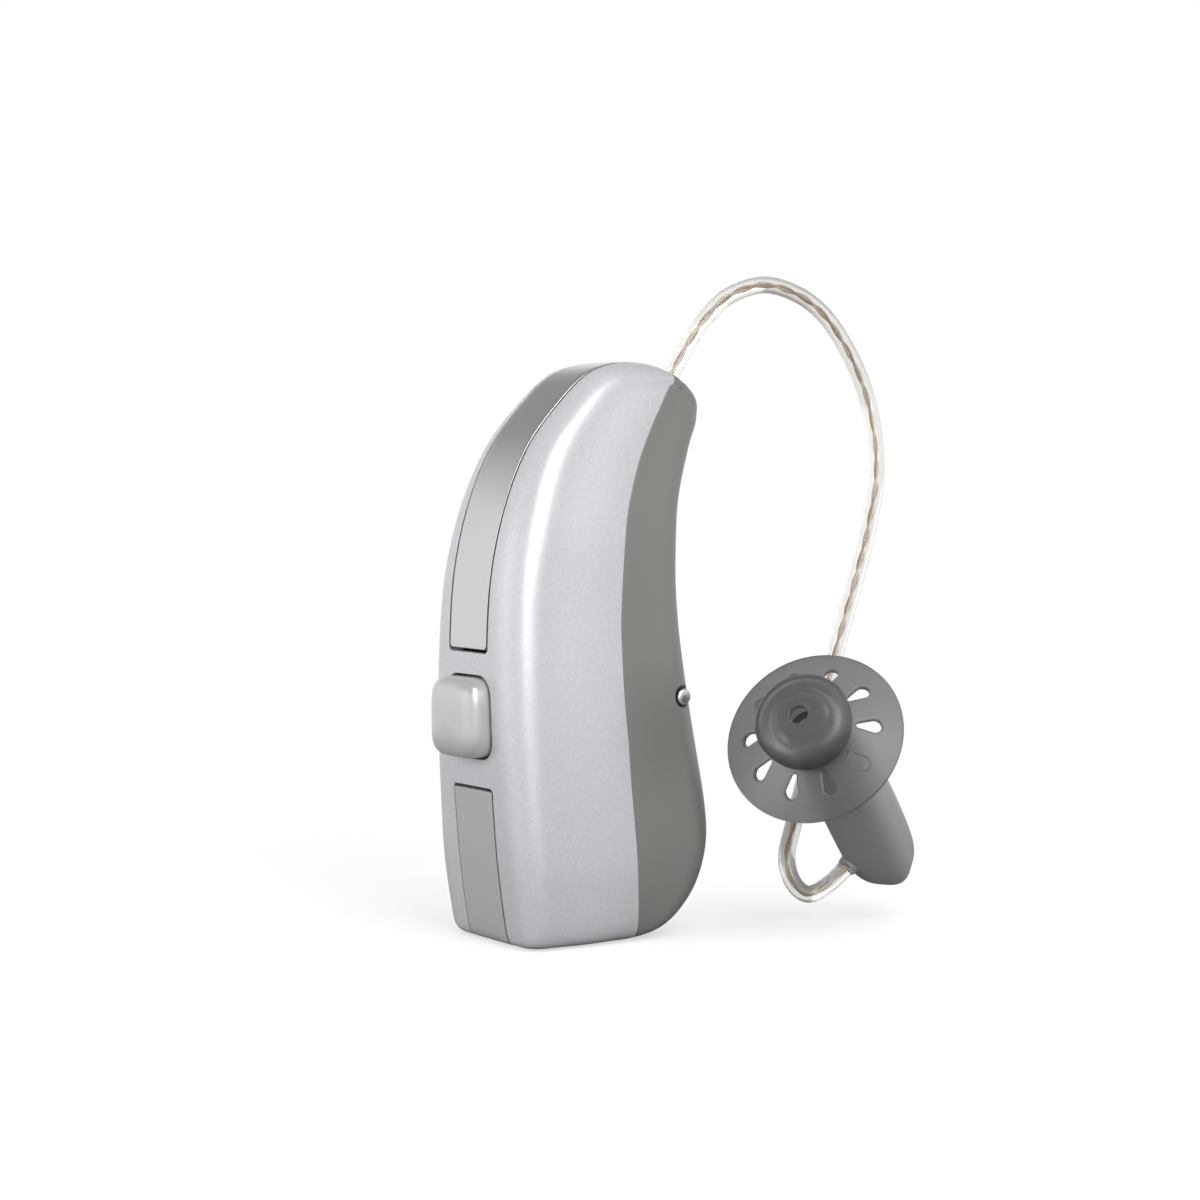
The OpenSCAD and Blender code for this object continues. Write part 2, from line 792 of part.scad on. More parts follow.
// Ear wire: rings along its route
wire_n = len(wire_route) - 1;
wire_ds = 0.2;
sides = 8;
function wire_p(u) = spline(wire_route, min(max(u, 0), wire_n));
function wire_dir(u) = unit(wire_p(min(u + wire_ds, wire_n)) - wire_p(max(u - wire_ds, 0)));
function wire_ring(u, r) = let (p = wire_p(u), t = wire_dir(u), a = unit(cross(t, [0, 1, 0])), b = cross(t, a))
  [for (j = [0:sides - 1]) p + r * (cos(j * 360 / sides) * a + sin(j * 360 / sides) * b)];
function wire_rings(r) = [for (k = [0:wire_n * wire_steps]) wire_ring(min(k / wire_steps, wire_n), r)];
module wire_tube() {
  o = wire_rings(wire_d / 2);
  i = wire_rings(core_d / 2);
  m = len(o);
  n = sides;
  pts = concat([for (r = o) for (p = r) p], [for (r = i) for (p = r) p]);
  h = m * n;
  skin = [for (k = [0:m - 2]) for (j = [0:n - 1]) let (a = k * n + j, b = k * n + (j + 1) % n)
    each [[a, a + n, b + n], [a, b + n, b], [h + a, h + b + n, h + a + n], [h + a, h + b, h + b + n]]];
  e = (m - 1) * n;
  ends = [for (j = [0:n - 1]) let (q = (j + 1) % n)
    each [[j, q, h + q], [j, h + q, h + j], [e + j, h + e + q, e + q], [e + j, h + e + j, h + e + q]]];
  color(clear_c)
    polyhedron(pts, concat(skin, ends));
}
module wire_core() {
  color(gold_c)
    rings_solid(wire_rings(core_d / 2));
}

// Frame at the ear wire's end, Z along it into the receiver
module on_wire_end() {
  t = wire_dir(wire_n);
  translate(wire_p(wire_n))
    rotate([0, acos(t[2]), atan2(t[1], t[0])])
      children();
}
boot_l = 0.9;
module boot_form() {
  cylinder(r1 = wire_d * 0.58, r2 = boot_r, h = boot_l);
  translate([0, 0, boot_l])
    cylinder(r = boot_r, h = boot_in);
}
module wire_boot() {
  color(case_c)
    on_wire_end()
      boot_form();
}

function axis(t, p) = [sin(t) * cos(p), sin(t) * sin(p), cos(t)];
module on_dome() {
  translate(dome_at)
    rotate([0, dome_tilt, dome_turn])
      children();
}
module on_case() {
  translate(dome_at - neck * axis(dome_tilt, dome_turn))
    rotate([0, case_tilt, case_turn])
      children();
}
// A thin rounded plate across the case at depth z: share of thickness, share of width, shift across
module case_plate(z, a, b, y) {
  r = case_t * 0.36 * min(a, b);
  translate([0, y * case_w, -z * case_len])
    linear_extrude(case_len * 0.01)
      offset(r)
        square([case_t * a - 2 * r, case_w * b - 2 * r], center = true);
}
motor_l = 6.3;
motor_w = case_w * 0.66;
motor_t = case_t * 0.62;
motor_z = 8.5;
module receiver_case() {
  color(case_c)
    difference() {
      on_case()
        hull() {
          case_plate(0.01, 0.82, 0.78, 0);
          case_plate(0.3, 0.96, 0.94, 0);
          case_plate(0.76, 1, 1.04, -0.02);
          case_plate(0.9, 0.94, 0.96, 0);
          case_plate(0.97, 0.78, 0.72, 0.03);
          case_plate(1, 0.6, 0.46, 0.05);
        }
      on_case()
        translate([-motor_t / 2, -motor_w / 2, -motor_z])
          cube([motor_t, motor_w, motor_l]);
      on_dome()
        translate([0, 0, -neck - spout_in])
          cylinder(d = spout_d, h = far);
      on_case()
        translate([0, 0, -motor_z + motor_l])
          cylinder(d = spout_bore_d, h = motor_z - motor_l);
      on_wire_end()
        boot_form();
    }
}
spout_in = 0.8;
module receiver_motor() {
  color(metal_c)
    on_case()
      difference() {
        translate([-motor_t / 2, -motor_w / 2, -motor_z])
          cube([motor_t, motor_w, motor_l]);
        translate([0, 0, -motor_z + motor_l - wall_t])
          cylinder(d = spout_bore_d, h = motor_l);
      }
}
tip_z = 1.45;
barb_z = 0.9;
barb_r = spout_d / 2 + 0.1;
module sound_spout() {
  color(case_c)
    on_dome()
      difference() {
        union() {
          translate([0, 0, -neck - spout_in])
            cylinder(d = spout_d, h = neck + spout_in + tip_z);
          translate([0, 0, barb_z])
            cylinder(r1 = barb_r, r2 = spout_d / 2, h = tip_z - barb_z);
        }
        translate([0, 0, -far / 2])
          cylinder(d = spout_bore_d, h = far);
      }
}
module wax_guard() {
  color(shell_c)
    on_dome()
      translate([0, 0, tip_z * 0.5])
        difference() {
          cylinder(d = spout_bore_d, h = tip_z * 0.5);
          translate([0, 0, -tip_z])
            cylinder(d = spout_bore_d * 0.6, h = 2 * tip_z);
        }
}

sleeve_r = barb_r + 0.04;
sleeve_t = 0.35;
hole_r = 0.75;
module ear_dome() {
  cr = crown_d / 2;
  dr = dome_d / 2;
  t = dome_t;
  color(dome_c)
    on_dome()
      difference() {
        rotate_extrude()
          polygon([[hole_r, crown_h], [cr * 0.62, crown_h], [cr * 0.86, crown_h * 0.93], [cr * 0.97, crown_h * 0.8],
            [cr, crown_h * 0.64], [cr, t * 1.5], [dr - t, t * 0.8], [dr, t * 0.4], [dr, 0], [dr - t, 0],
            [cr, t * 0.5], [cr - t, t * 0.6], [cr - t, crown_h * 0.62], [cr * 0.76, crown_h - t],
            [sleeve_r + sleeve_t, crown_h - t], [sleeve_r + sleeve_t, 0], [sleeve_r, 0],
            [sleeve_r, crown_h - t], [hole_r, crown_h - t]]);
        for (k = [0:vents - 1])
          rotate([0, 0, (k + 0.5) * 360 / vents])
            translate([0, 0, -t])
              linear_extrude(4 * t) {
                translate([slot_in, 0])
                  circle(slot_r0);
                translate([slot_out, 0])
                  circle(slot_r1);
                polygon([[slot_in, -slot_r0], [slot_out, -slot_r1], [slot_out, slot_r1], [slot_in, slot_r0]]);
              }
      }
}
slot_r0 = 0.24;
slot_r1 = 0.4;

outer_shell();
front_frame();
mic_cover();
battery_drawer();
drawer_pin();
push_button();
button_seal();
switch_base();
switch_dome();
circuit_board();
signal_chip();
radio_chip();
capacitor();
chassis();
telecoil_core();
telecoil_winding();
antenna();
front_microphone();
rear_microphone();
front_mic_gasket();
rear_mic_gasket();
front_mic_screen();
rear_mic_screen();
cell_can();
cell_grommet();
cell_lid();
contact_plus();
contact_minus();
plug_socket();
ear_plug();
plug_pins();
wire_tube();
wire_core();
wire_boot();
receiver_case();
receiver_motor();
sound_spout();
wax_guard();
ear_dome();
flex_strip();
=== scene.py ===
"""Behind-the-ear hearing aid: finished pieces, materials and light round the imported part.

Forms are worked out in millimetres from the same stations as the part's source, and turned into
metres when their mesh is made. Pieces stay where they are in the rest pose and ride on their body.
"""
import math

import bmesh
import bpy
import numpy as np
from mathutils import Matrix, Vector
from mathutils.geometry import delaunay_2d_cdt


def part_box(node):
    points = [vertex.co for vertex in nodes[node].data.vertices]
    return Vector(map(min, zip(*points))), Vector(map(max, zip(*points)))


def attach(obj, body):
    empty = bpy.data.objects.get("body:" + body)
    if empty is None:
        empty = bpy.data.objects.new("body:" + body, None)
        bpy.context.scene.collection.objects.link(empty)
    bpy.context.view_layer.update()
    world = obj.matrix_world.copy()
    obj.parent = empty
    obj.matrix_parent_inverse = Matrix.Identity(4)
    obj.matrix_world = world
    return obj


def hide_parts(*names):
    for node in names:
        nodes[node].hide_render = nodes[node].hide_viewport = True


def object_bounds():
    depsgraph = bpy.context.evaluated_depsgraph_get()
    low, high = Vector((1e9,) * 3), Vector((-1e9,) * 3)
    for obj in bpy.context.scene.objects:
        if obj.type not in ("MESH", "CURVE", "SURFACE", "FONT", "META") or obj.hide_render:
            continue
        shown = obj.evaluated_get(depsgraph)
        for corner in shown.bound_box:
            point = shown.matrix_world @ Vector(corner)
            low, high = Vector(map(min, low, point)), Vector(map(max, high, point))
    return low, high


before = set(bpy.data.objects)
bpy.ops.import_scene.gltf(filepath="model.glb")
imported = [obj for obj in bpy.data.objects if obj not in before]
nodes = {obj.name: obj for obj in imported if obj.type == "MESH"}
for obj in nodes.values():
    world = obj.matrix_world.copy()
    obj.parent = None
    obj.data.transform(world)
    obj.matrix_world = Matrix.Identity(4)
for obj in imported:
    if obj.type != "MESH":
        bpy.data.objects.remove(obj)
cad_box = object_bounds()
MM = 0.001


def linked(name, data):
    """New object in the scene for a mesh, a curve, a lamp or the camera."""
    obj = bpy.data.objects.new(name, data)
    bpy.context.scene.collection.objects.link(obj)
    return obj


def hung(name, data, azimuth, height, distance, target=(0, 0, 0)):
    """Camera or lamp that looks at its target from an azimuth and a height in degrees; azimuth 0 is -Y."""
    a, e = math.radians(azimuth), math.radians(height)
    back = Vector((math.sin(a) * math.cos(e), -math.cos(a) * math.cos(e), math.sin(e)))
    obj = linked(name, data)
    obj.location = Vector(target) + back * distance
    obj.rotation_euler = back.to_track_quat("Z", "Y").to_euler()
    return obj


# Camera, found from the body's own outlines in the photo
AZIMUTH, ELEVATION, DISTANCE = -34, 3, 0.140
CAMERA_TARGET = (-0.00278, 0.0, -0.00100)
camera_data = bpy.data.cameras.new("camera")
camera_data.sensor_width = 36.0
camera_data.lens = 79.8
camera_data.clip_start = 0.005
camera_data.clip_end = 20.0
bpy.context.scene.camera = hung("camera", camera_data, AZIMUTH, ELEVATION, DISTANCE, CAMERA_TARGET)


# Small tools
def linear(hex_colour):
    """sRGB hex to linear RGBA."""
    h = hex_colour.lstrip("#")
    parts = [int(h[k:k + 2], 16) / 255 for k in (0, 2, 4)]
    return [c / 12.92 if c <= 0.04045 else ((c + 0.055) / 1.055) ** 2.4 for c in parts] + [1.0]


def put(tree, kind, links=(), **settings):
    """Adds one node with its settings; links are (input name, socket or value)."""
    node = tree.nodes.new(kind)
    for key, value in settings.items():
        setattr(node, key, value)
    for name, source in links:
        socket = node.inputs[name]
        if isinstance(source, bpy.types.NodeSocket):
            tree.links.new(source, socket)
        else:
            socket.default_value = source
    return node


def material(name, colour, roughness=0.4, metallic=0.0, **sockets):
    mat = bpy.data.materials.new(name)
    mat.use_nodes = True
    shader = insides(mat)[1]
    shader.inputs["Base Color"].default_value = linear(colour)
    shader.inputs["Roughness"].default_value = roughness
    shader.inputs["Metallic"].default_value = metallic
    for key, value in sockets.items():
        shader.inputs[key.replace("_", " ")].default_value = value
    return mat


def insides(mat):
    """A material's node tree and its shader."""
    return mat.node_tree, mat.node_tree.nodes["Principled BSDF"]


def grained(name, first, second, grain_mm, depth_mm, cloud_mm, rough,
            metallic=0.0, stretch=(1, 1, 1), **sockets):
    """A finish: fine grain as relief, and slow drifts between two colours and two roughnesses."""
    mat = material(name, first, rough[0], metallic, **sockets)
    tree, shader = insides(mat)
    place = put(tree, "ShaderNodeTexCoord")
    drawn = put(tree, "ShaderNodeMapping", [("Vector", place.outputs["Object"]), ("Scale", stretch)])
    grain, cloud = (put(tree, "ShaderNodeTexNoise", [
        ("Vector", drawn.outputs[0]), ("Scale", 1 / (size * MM)), ("Detail", detail)])
        for size, detail in ((grain_mm, 3.0), (cloud_mm, 2.0)))
    drift = put(tree, "ShaderNodeMix", [
        (0, cloud.outputs[0]), (6, linear(first)), (7, linear(second))], data_type="RGBA")
    haze = put(tree, "ShaderNodeMapRange", [
        ("Value", cloud.outputs[0]), ("To Min", rough[0]), ("To Max", rough[1])])
    relief = put(tree, "ShaderNodeBump", [("Height", grain.outputs[0]), ("Distance", depth_mm * MM)])
    tree.links.new(drift.outputs[2], shader.inputs["Base Color"])
    tree.links.new(haze.outputs[0], shader.inputs["Roughness"])
    tree.links.new(relief.outputs[0], shader.inputs["Normal"])
    return mat


def dress(obj, mat):
    obj.data.materials.clear()
    obj.data.materials.append(mat)


def clad(mat, *names):
    """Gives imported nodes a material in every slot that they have."""
    for name in names:
        if not nodes[name].material_slots:
            nodes[name].data.materials.append(mat)
        for slot in nodes[name].material_slots:
            slot.material = mat


def stand_in(piece, body, node):
    """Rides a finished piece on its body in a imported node's place."""
    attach(piece, body)
    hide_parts(node)


def quads(rings, sides, close=False):
    """Faces between neighbouring rings of points, each ring closed on itself."""
    faces = []
    for i in range(rings if close else rings - 1):
        k = (i + 1) % rings
        for j in range(sides):
            q = (j + 1) % sides
            faces.append((i * sides + j, i * sides + q, k * sides + q, k * sides + j))
    return faces


def from_modifier(source, tree, values, name):
    """Runs a node tree on an object and keeps its result as a plain mesh; the source goes."""
    modifier = source.modifiers.new("made", "NODES")
    modifier.node_group = tree
    for socket in tree.interface.items_tree:
        if socket.name in values:
            modifier[socket.identifier] = values[socket.name]
    graph = bpy.context.evaluated_depsgraph_get()
    mesh = bpy.data.meshes.new_from_object(source.evaluated_get(graph))
    mesh.name = name
    source.modifiers.clear()
    bpy.data.objects.remove(source)
    return linked(name, mesh)


def line_object(name, points):
    """An open poly curve through points in metres."""
    data = bpy.data.curves.new(name, "CURVE")
    data.dimensions = "3D"
    spline = data.splines.new("POLY")
    spline.points.add(len(points) - 1)
    spline.points.foreach_set("co", [c for p in points for c in (*p, 1.0)])
    return linked(name, data)


def wound_strands(name, mats):
    """Geometry nodes: one strand for each material, all twisted evenly round the line they are given."""
    tree = bpy.data.node_groups.new(name, "GeometryNodeTree")
    tree.interface.new_socket("Line", in_out="INPUT", socket_type="NodeSocketGeometry")
    for title in ("Step", "Lay", "Spread", "Thickness"):
        tree.interface.new_socket(title, in_out="INPUT", socket_type="NodeSocketFloat")
    tree.interface.new_socket("Strands", in_out="OUTPUT", socket_type="NodeSocketGeometry")
    given = put(tree, "NodeGroupInput").outputs
    even = put(tree, "GeometryNodeResampleCurve", [
        ("Curve", given["Line"]), ("Length", given["Step"])], mode="LENGTH")
    along = put(tree, "GeometryNodeInputTangent").outputs[0]
    across = put(tree, "GeometryNodeInputNormal").outputs[0]
    third = put(tree, "ShaderNodeVectorMath", [(0, along), (1, across)], operation="CROSS_PRODUCT").outputs[0]
    run = put(tree, "GeometryNodeSplineParameter").outputs["Length"]
    turns = put(tree, "ShaderNodeMath", [(0, run), (1, given["Lay"])], operation="DIVIDE").outputs[0]
    wire = put(tree, "GeometryNodeCurvePrimitiveCircle", [("Resolution", 8), ("Radius", given["Thickness"])])
    together = put(tree, "GeometryNodeJoinGeometry")
    for k, mat in enumerate(mats):
        angle = put(tree, "ShaderNodeMath", [(0, turns), (1, 2 * math.pi), (2, 2 * math.pi * k / len(mats))],
                    operation="MULTIPLY_ADD").outputs[0]
        shift = None
        for trig, direction in (("COSINE", across), ("SINE", third)):
            part = put(tree, "ShaderNodeMath", [(0, angle)], operation=trig)
            reach = put(tree, "ShaderNodeMath", [
                (0, part.outputs[0]), (1, given["Spread"])], operation="MULTIPLY")
            step = put(tree, "ShaderNodeVectorMath", [(0, direction), (3, reach.outputs[0])], operation="SCALE")
            shift = step.outputs[0] if shift is None else put(
                tree, "ShaderNodeVectorMath", [(0, shift), (1, step.outputs[0])], operation="ADD").outputs[0]
        moved = put(tree, "GeometryNodeSetPosition", [("Geometry", even.outputs[0]), ("Offset", shift)])
        drawn = put(tree, "GeometryNodeCurveToMesh", [
            ("Curve", moved.outputs[0]), ("Profile Curve", wire.outputs[0]), ("Fill Caps", True)])
        smooth = put(tree, "GeometryNodeSetShadeSmooth", [(0, drawn.outputs[0])])
        whole = put(tree, "GeometryNodeRealizeInstances", [(0, smooth.outputs[0])])
        finish = put(tree, "GeometryNodeSetMaterial", [("Geometry", whole.outputs[0]), ("Material", mat)])
        tree.links.new(finish.outputs[0], together.inputs[0])
    tree.links.new(together.outputs[0], put(tree, "NodeGroupOutput").inputs[0])
    return tree


# Ear wire
PLUG_X, PLUG_Z, PLUG_LEAN, PLUG_OUT = 1.02, 9.75, math.radians(33), 0.5
wire_exit = (PLUG_X + PLUG_OUT * math.sin(PLUG_LEAN), 0.0, PLUG_Z + PLUG_OUT * math.cos(PLUG_LEAN))
wire_route = np.array([
    wire_exit, (1.9, 0, 11.1), (3.1, 0, 12.85), (4.3, 0, 14.2), (5.8, 0, 15.3),
    (8.1, 0, 15.9), (10.5, 0, 15.4), (12.3, 0, 14.3), (13.8, 0, 12.6), (14.95, -0.05, 10.6),
    (15.55, -0.3, 8.2), (15.4, -0.75, 5.4), (14.25, -1.4, 2.45), (12.8, -2, -0.55),
    (11.05, -2.55, -4.2), (9.3, -3, -8.7), (7.6, -3.45, -12.9), (6.65, -3.95, -14.85),
    (6.75, -4.35, -16.2), (7.55, -4.65, -16.9), (8.65, -4.95, -16.45), (9.8, -5.1, -15.6)])
WIRE_D = 0.92
WIRE_SIDES, STEPS_PER_POINT = 32, 12


def along_spline(points, u):
    """Catmull-Rom curve through the points, as in the part's source."""
    n = len(points)
    k = min(int(math.floor(u)), n - 2)
    f = u - k
    a, b, c, d = points[max(k - 1, 0)], points[k], points[k + 1], points[min(k + 2, n - 1)]
    return (2 * b + (c - a) * f + (2 * a - 5 * b + 4 * c - d) * f * f
            + (3 * b - a - 3 * c + d) * f ** 3) / 2


def tube(name, path, radius, sides):
    """Closed round tube along a path of points, turned as little as the path allows."""
    tangent = np.gradient(path, axis=0)
    tangent /= np.linalg.norm(tangent, axis=1)[:, None]
    side = np.cross(tangent[0], (0, 1, 0))
    verts = []
    for point, ahead in zip(path, tangent):
        side = side - ahead * side.dot(ahead)
        side /= np.linalg.norm(side)
        other = np.cross(ahead, side)
        for j in range(sides):
            a = 2 * math.pi * j / sides
            verts.append(tuple(point + radius * (math.cos(a) * side + math.sin(a) * other)))
    n = len(path)
    ends = [tuple(range(sides - 1, -1, -1)), tuple((n - 1) * sides + j for j in range(sides))]
    mesh = bpy.data.meshes.new(name)
    mesh.from_pydata(verts, [], quads(n, sides) + ends)
    mesh.validate()
    bm = bmesh.new()
    bm.from_mesh(mesh)
    bmesh.ops.recalc_face_normals(bm, faces=bm.faces)
    bm.to_mesh(mesh)
    bm.free()
    mesh.polygons.foreach_set("use_smooth", [True] * len(mesh.polygons))
    return linked(name, mesh)


wire_steps = STEPS_PER_POINT * (len(wire_route) - 1) + 1
wire_places = np.linspace(0, len(wire_route) - 1, wire_steps)
wire_points = np.array([along_spline(wire_route, u) for u in wire_places]) * MM
ear_tube = tube("ear_wire_tube", wire_points, WIRE_D / 2 * MM, WIRE_SIDES)
# Extruded clear polyamide: nearly glass, with a faint milky body and a faint even grain
tube_mat = grained("clear_polyamide_extruded", "#F4F3EE", "#EBECE8", 0.8, 0.0002, 3.0, (0.05, 0.1),
                         Transmission_Weight=0.86, IOR=1.5)
# Lacquered copper litz, one strand dyed brown and one left pale, so that the pair can be told apart
brown_mat = grained("copper_litz_brown_lacquer", "#9B6D56", "#B58A70", 0.04, 0.002, 0.8, (0.3, 0.4), 0.3)
pale_mat = grained("copper_litz_pale_lacquer", "#BFAE8C", "#CDBF9F", 0.04, 0.002, 0.8, (0.3, 0.4), 0.3)
# The pair is drawn as two strands of 0.1 mm; a real one has many of 0.02 mm
ear_core = from_modifier(
    line_object("wire_line", wire_points), wound_strands("twisted_pair", (brown_mat, pale_mat)),
    {"Step": 0.13 * MM, "Lay": 2.8 * MM, "Spread": 0.052 * MM, "Thickness": 0.05 * MM}, "ear_wire_core")
dress(ear_tube, tube_mat)
stand_in(ear_tube, "housing", "wire_tube")
stand_in(ear_core, "housing", "wire_core")

# Body form
BODY_H, BODY_T, CROWN, WALL = 30.0, 8.8, 0.14, 0.8
LAST = 19
station_shares = np.array([
    (-0.308, -0.613, -0.097, -0.613), (-0.321, -0.605, -0.053, -0.603),
    (-0.328, -0.58, -0.012, -0.58), (-0.335, -0.537, 0.027, -0.537),
    (-0.342, -0.487, 0.048, -0.487), (-0.348, -0.43, 0.056, -0.43),
    (-0.354, -0.353, 0.047, -0.353), (-0.36, -0.267, 0.031, -0.267),
    (-0.364, -0.167, 0.015, -0.167), (-0.363, -0.073, 0.004, -0.073),
    (-0.356, 0.013, 0, 0.007), (-0.34, 0.092, 0.003, 0.08), (-0.313, 0.173, 0.014, 0.147),
    (-0.275, 0.245, 0.032, 0.2), (-0.227, 0.302, 0.048, 0.237), (-0.17, 0.355, 0.063, 0.262),
    (-0.113, 0.378, 0.071, 0.277), (-0.057, 0.382, 0.074, 0.29), (-0.01, 0.373, 0.073, 0.303),
    (0.008, 0.362, 0.065, 0.317)])
half_shares = (0.4, 0.455, 0.483, 0.494, 0.5, 0.498, 0.492, 0.483, 0.47, 0.455,
               0.445, 0.434, 0.41, 0.386, 0.366, 0.347, 0.335, 0.324, 0.3125, 0.26)
spine_r_shares = (0.1, 0.12, 0.136, 0.145, 0.15, 0.155, 0.165, 0.175, 0.185, 0.19,
                  0.195, 0.2, 0.195, 0.185, 0.175, 0.17, 0.165, 0.16, 0.15, 0.12)
front_r_shares = (0.1, 0.13, 0.15, 0.16, 0.16, 0.16, 0.16, 0.16, 0.16, 0.16,
                  0.16, 0.16, 0.165, 0.17, 0.18, 0.19, 0.2, 0.2, 0.19, 0.15)
seam_shares = ((-0.107, -0.64), (-0.108, -0.6), (-0.113, -0.52), (-0.118, -0.44),
               (-0.127, -0.34), (-0.131, -0.27), (-0.137, -0.2), (-0.14, -0.12),
               (-0.14, -0.06), (-0.135, 0.01), (-0.129, 0.07), (-0.12, 0.123),
               (-0.107, 0.165), (-0.092, 0.205), (-0.075, 0.24), (-0.055, 0.275),
               (-0.033, 0.31), (-0.013, 0.34), (0, 0.352), (0.004, 0.42))


def smooth_curve(rows):
    """Function of a running number through all the rows, smooth in its curvature."""
    rows = np.asarray(rows, float)
    n = len(rows)
    system, right = np.eye(n), np.zeros_like(rows)
    for i in range(1, n - 1):
        system[i, i - 1:i + 2] = 1, 4, 1
        right[i] = 6 * (rows[i - 1] - 2 * rows[i] + rows[i + 1])
    bend = np.linalg.solve(system, right)

    def at(u):
        u = np.asarray(u, float)
        k = np.clip(np.floor(u).astype(int), 0, n - 2)
        f = (u - k)[..., None]
        g = 1 - f
        return ((bend[k] * g ** 3 + bend[k + 1] * f ** 3) / 6
                + (rows[k] - bend[k] / 6) * g + (rows[k + 1] - bend[k + 1] / 6) * f)
    return at


station = smooth_curve(np.column_stack([station_shares * BODY_H, np.array(half_shares) * BODY_T,
                                        np.array(spine_r_shares) * BODY_T,
                                        np.array(front_r_shares) * BODY_T]))
seam_line = smooth_curve(np.array(seam_shares) * BODY_H)(np.linspace(0, len(seam_shares) - 1, 900))
# The corners are softer than arcs: a squarer curve over a slightly longer run
CORNER, GROW, QUARTER = 2.4, 1.17, 1.62


def lengths(u):
    s = station(u)
    span = np.hypot(s[..., 2] - s[..., 0], s[..., 3] - s[..., 1])
    rb, rf, h = s[..., 5] * GROW, s[..., 6] * GROW, s[..., 4]
    return s, span, h, rb, rf, h - rb, rb * QUARTER, span - rb - rf, rf * QUARTER, h - rf


def total(u):
    return sum(lengths(u)[5:])


def section(u, w):
    """Distance from the spine and half thickness of the skin, w round the section from the spine."""
    s, span, h, rb, rf, q1, q2, q3, q4, q5 = lengths(u)
    t = np.abs(w)
    turn = math.pi / 2
    a1 = np.clip((t - q1) / q2, 0, 1) * turn
    a2 = np.clip((t - q1 - q2 - q3) / q4, 0, 1) * turn
    r1 = (np.cos(a1) ** CORNER + np.sin(a1) ** CORNER) ** (-1 / CORNER)
    r2 = (np.cos(a2) ** CORNER + np.sin(a2) ** CORNER) ** (-1 / CORNER)
    f = np.clip((t - q1 - q2) / q3, 0, 1)
    run = np.select([t < q1 + q2, t < q1 + q2 + q3],
                    [rb - rb * r1 * np.cos(a1), rb + f * q3], span - rf + rf * r2 * np.sin(a2))
    y = np.select([t < q1, t < q1 + q2, t < q1 + q2 + q3, t < q1 + q2 + q3 + q4],
                  [t, h - rb + rb * r1 * np.sin(a1), h + CROWN * np.sin(math.pi * f) ** 2,
                   h - rf + rf * r2 * np.cos(a2)], q5 - (t - q1 - q2 - q3 - q4))
    return s, span, run, y


def skin(u, w):
    """Point of the skin in mm, w measured from the middle of the spine, minus toward -Y."""
    s, span, run, y = section(u, w)
    dx, dz = (s[..., 2] - s[..., 0]) / span, (s[..., 3] - s[..., 1]) / span
    return np.stack([s[..., 0] + dx * run, np.sign(w) * y, s[..., 1] + dz * run], -1)


def front_skin(u, w):
    """The same skin, w measured from the middle of the front."""
    w = np.asarray(w, float)
    side = np.where(w < 0, -1.0, 1.0)
    return skin(u, side * (total(u) - np.abs(w)))


# Running length up the body, so that a panel's net is even
u_table = np.linspace(0, LAST, 761)
rows = station(u_table)
steps = (np.hypot(np.diff(rows[:, 0]), np.diff(rows[:, 1]))
         + np.hypot(np.diff(rows[:, 2]), np.diff(rows[:, 3]))) / 2
up_table = np.concatenate([[0], np.cumsum(steps)])


def up(u):
    return np.interp(u, u_table, up_table)


def by_length(surface):
    """The surface with its first number counted in millimetres up the body."""
    return lambda a, w: surface(np.interp(a, up_table, u_table), w)


# Rows of the table between which the spine's and the front's height rise all the way
SPINE_ROWS, FRONT_ROWS = slice(60, 660), slice(20, None)


def spine_station(z):
    return float(np.interp(z, rows[SPINE_ROWS, 1], u_table[SPINE_ROWS]))


def front_station(z):
    return float(np.interp(z, rows[FRONT_ROWS, 3], u_table[FRONT_ROWS]))


# Least run of the shell round its spine corner, where the seam leaves the nose
SEAM_LEAST = 0.12


def seam_reach(u):
    """Distance round the section at which shell and frame meet."""
    s, span = lengths(u)[:2]
    a, d = s[:2], (s[2:4] - s[:2]) / span
    rel = seam_line - a
    across = rel[:, 0] * d[1] - rel[:, 1] * d[0]
    runs = rel @ d
    hits = np.where(np.sign(across[:-1]) != np.sign(across[1:]))[0]
    run = float(runs[hits[np.argmin(np.abs(runs[hits] - span / 2))]]) if len(hits) else 0.0
    w = np.linspace(0, float(total(u)), 500)
    reach = float(np.interp(run, section(np.full(500, u), w)[2], w))
    q = lengths(u)
    return max(reach, float(q[5] + SEAM_LEAST * q[6]))


def resample(points, gap):
    """Cuts long sides of an outline into even short ones, and keeps its corners."""
    out = []
    n = len(points)
    for i in range(n):
        a, b = np.asarray(points[i], float), np.asarray(points[(i + 1) % n], float)
        m = max(1, int(math.ceil(np.linalg.norm(b - a) / gap)))
        out += [a + (b - a) * k / m for k in range(m)]
    return np.array(out)


def round_corners(points, radii, count=6):
    """Outline with its corners rounded, each by its own radius."""
    out = []
    n = len(points)
    for i, r in enumerate(radii):
        p, a, b = (np.asarray(points[k % n], float) for k in (i, i - 1, i + 1))
        if r <= 0:
            out.append(p)
            continue
        da, db = (a - p) / np.linalg.norm(a - p), (b - p) / np.linalg.norm(b - p)
        half = math.acos(max(-1, min(1, float(da @ db)))) / 2
        reach = r / math.tan(half)
        middle = (da + db) / np.linalg.norm(da + db) * r / math.sin(half) + p
        start, end = p + da * reach - middle, p + db * reach - middle
        sweep = math.pi - 2 * half
        for k in range(count + 1):
            f = k / count
            mix = math.sin((1 - f) * sweep) * start + math.sin(f * sweep) * end
            out.append(middle + mix / math.sin(sweep))
    return np.array(out)


def area(loop):
    x, y = loop[:, 0], loop[:, 1]
    return float((x * np.roll(y, -1) - y * np.roll(x, -1)).sum() / 2)


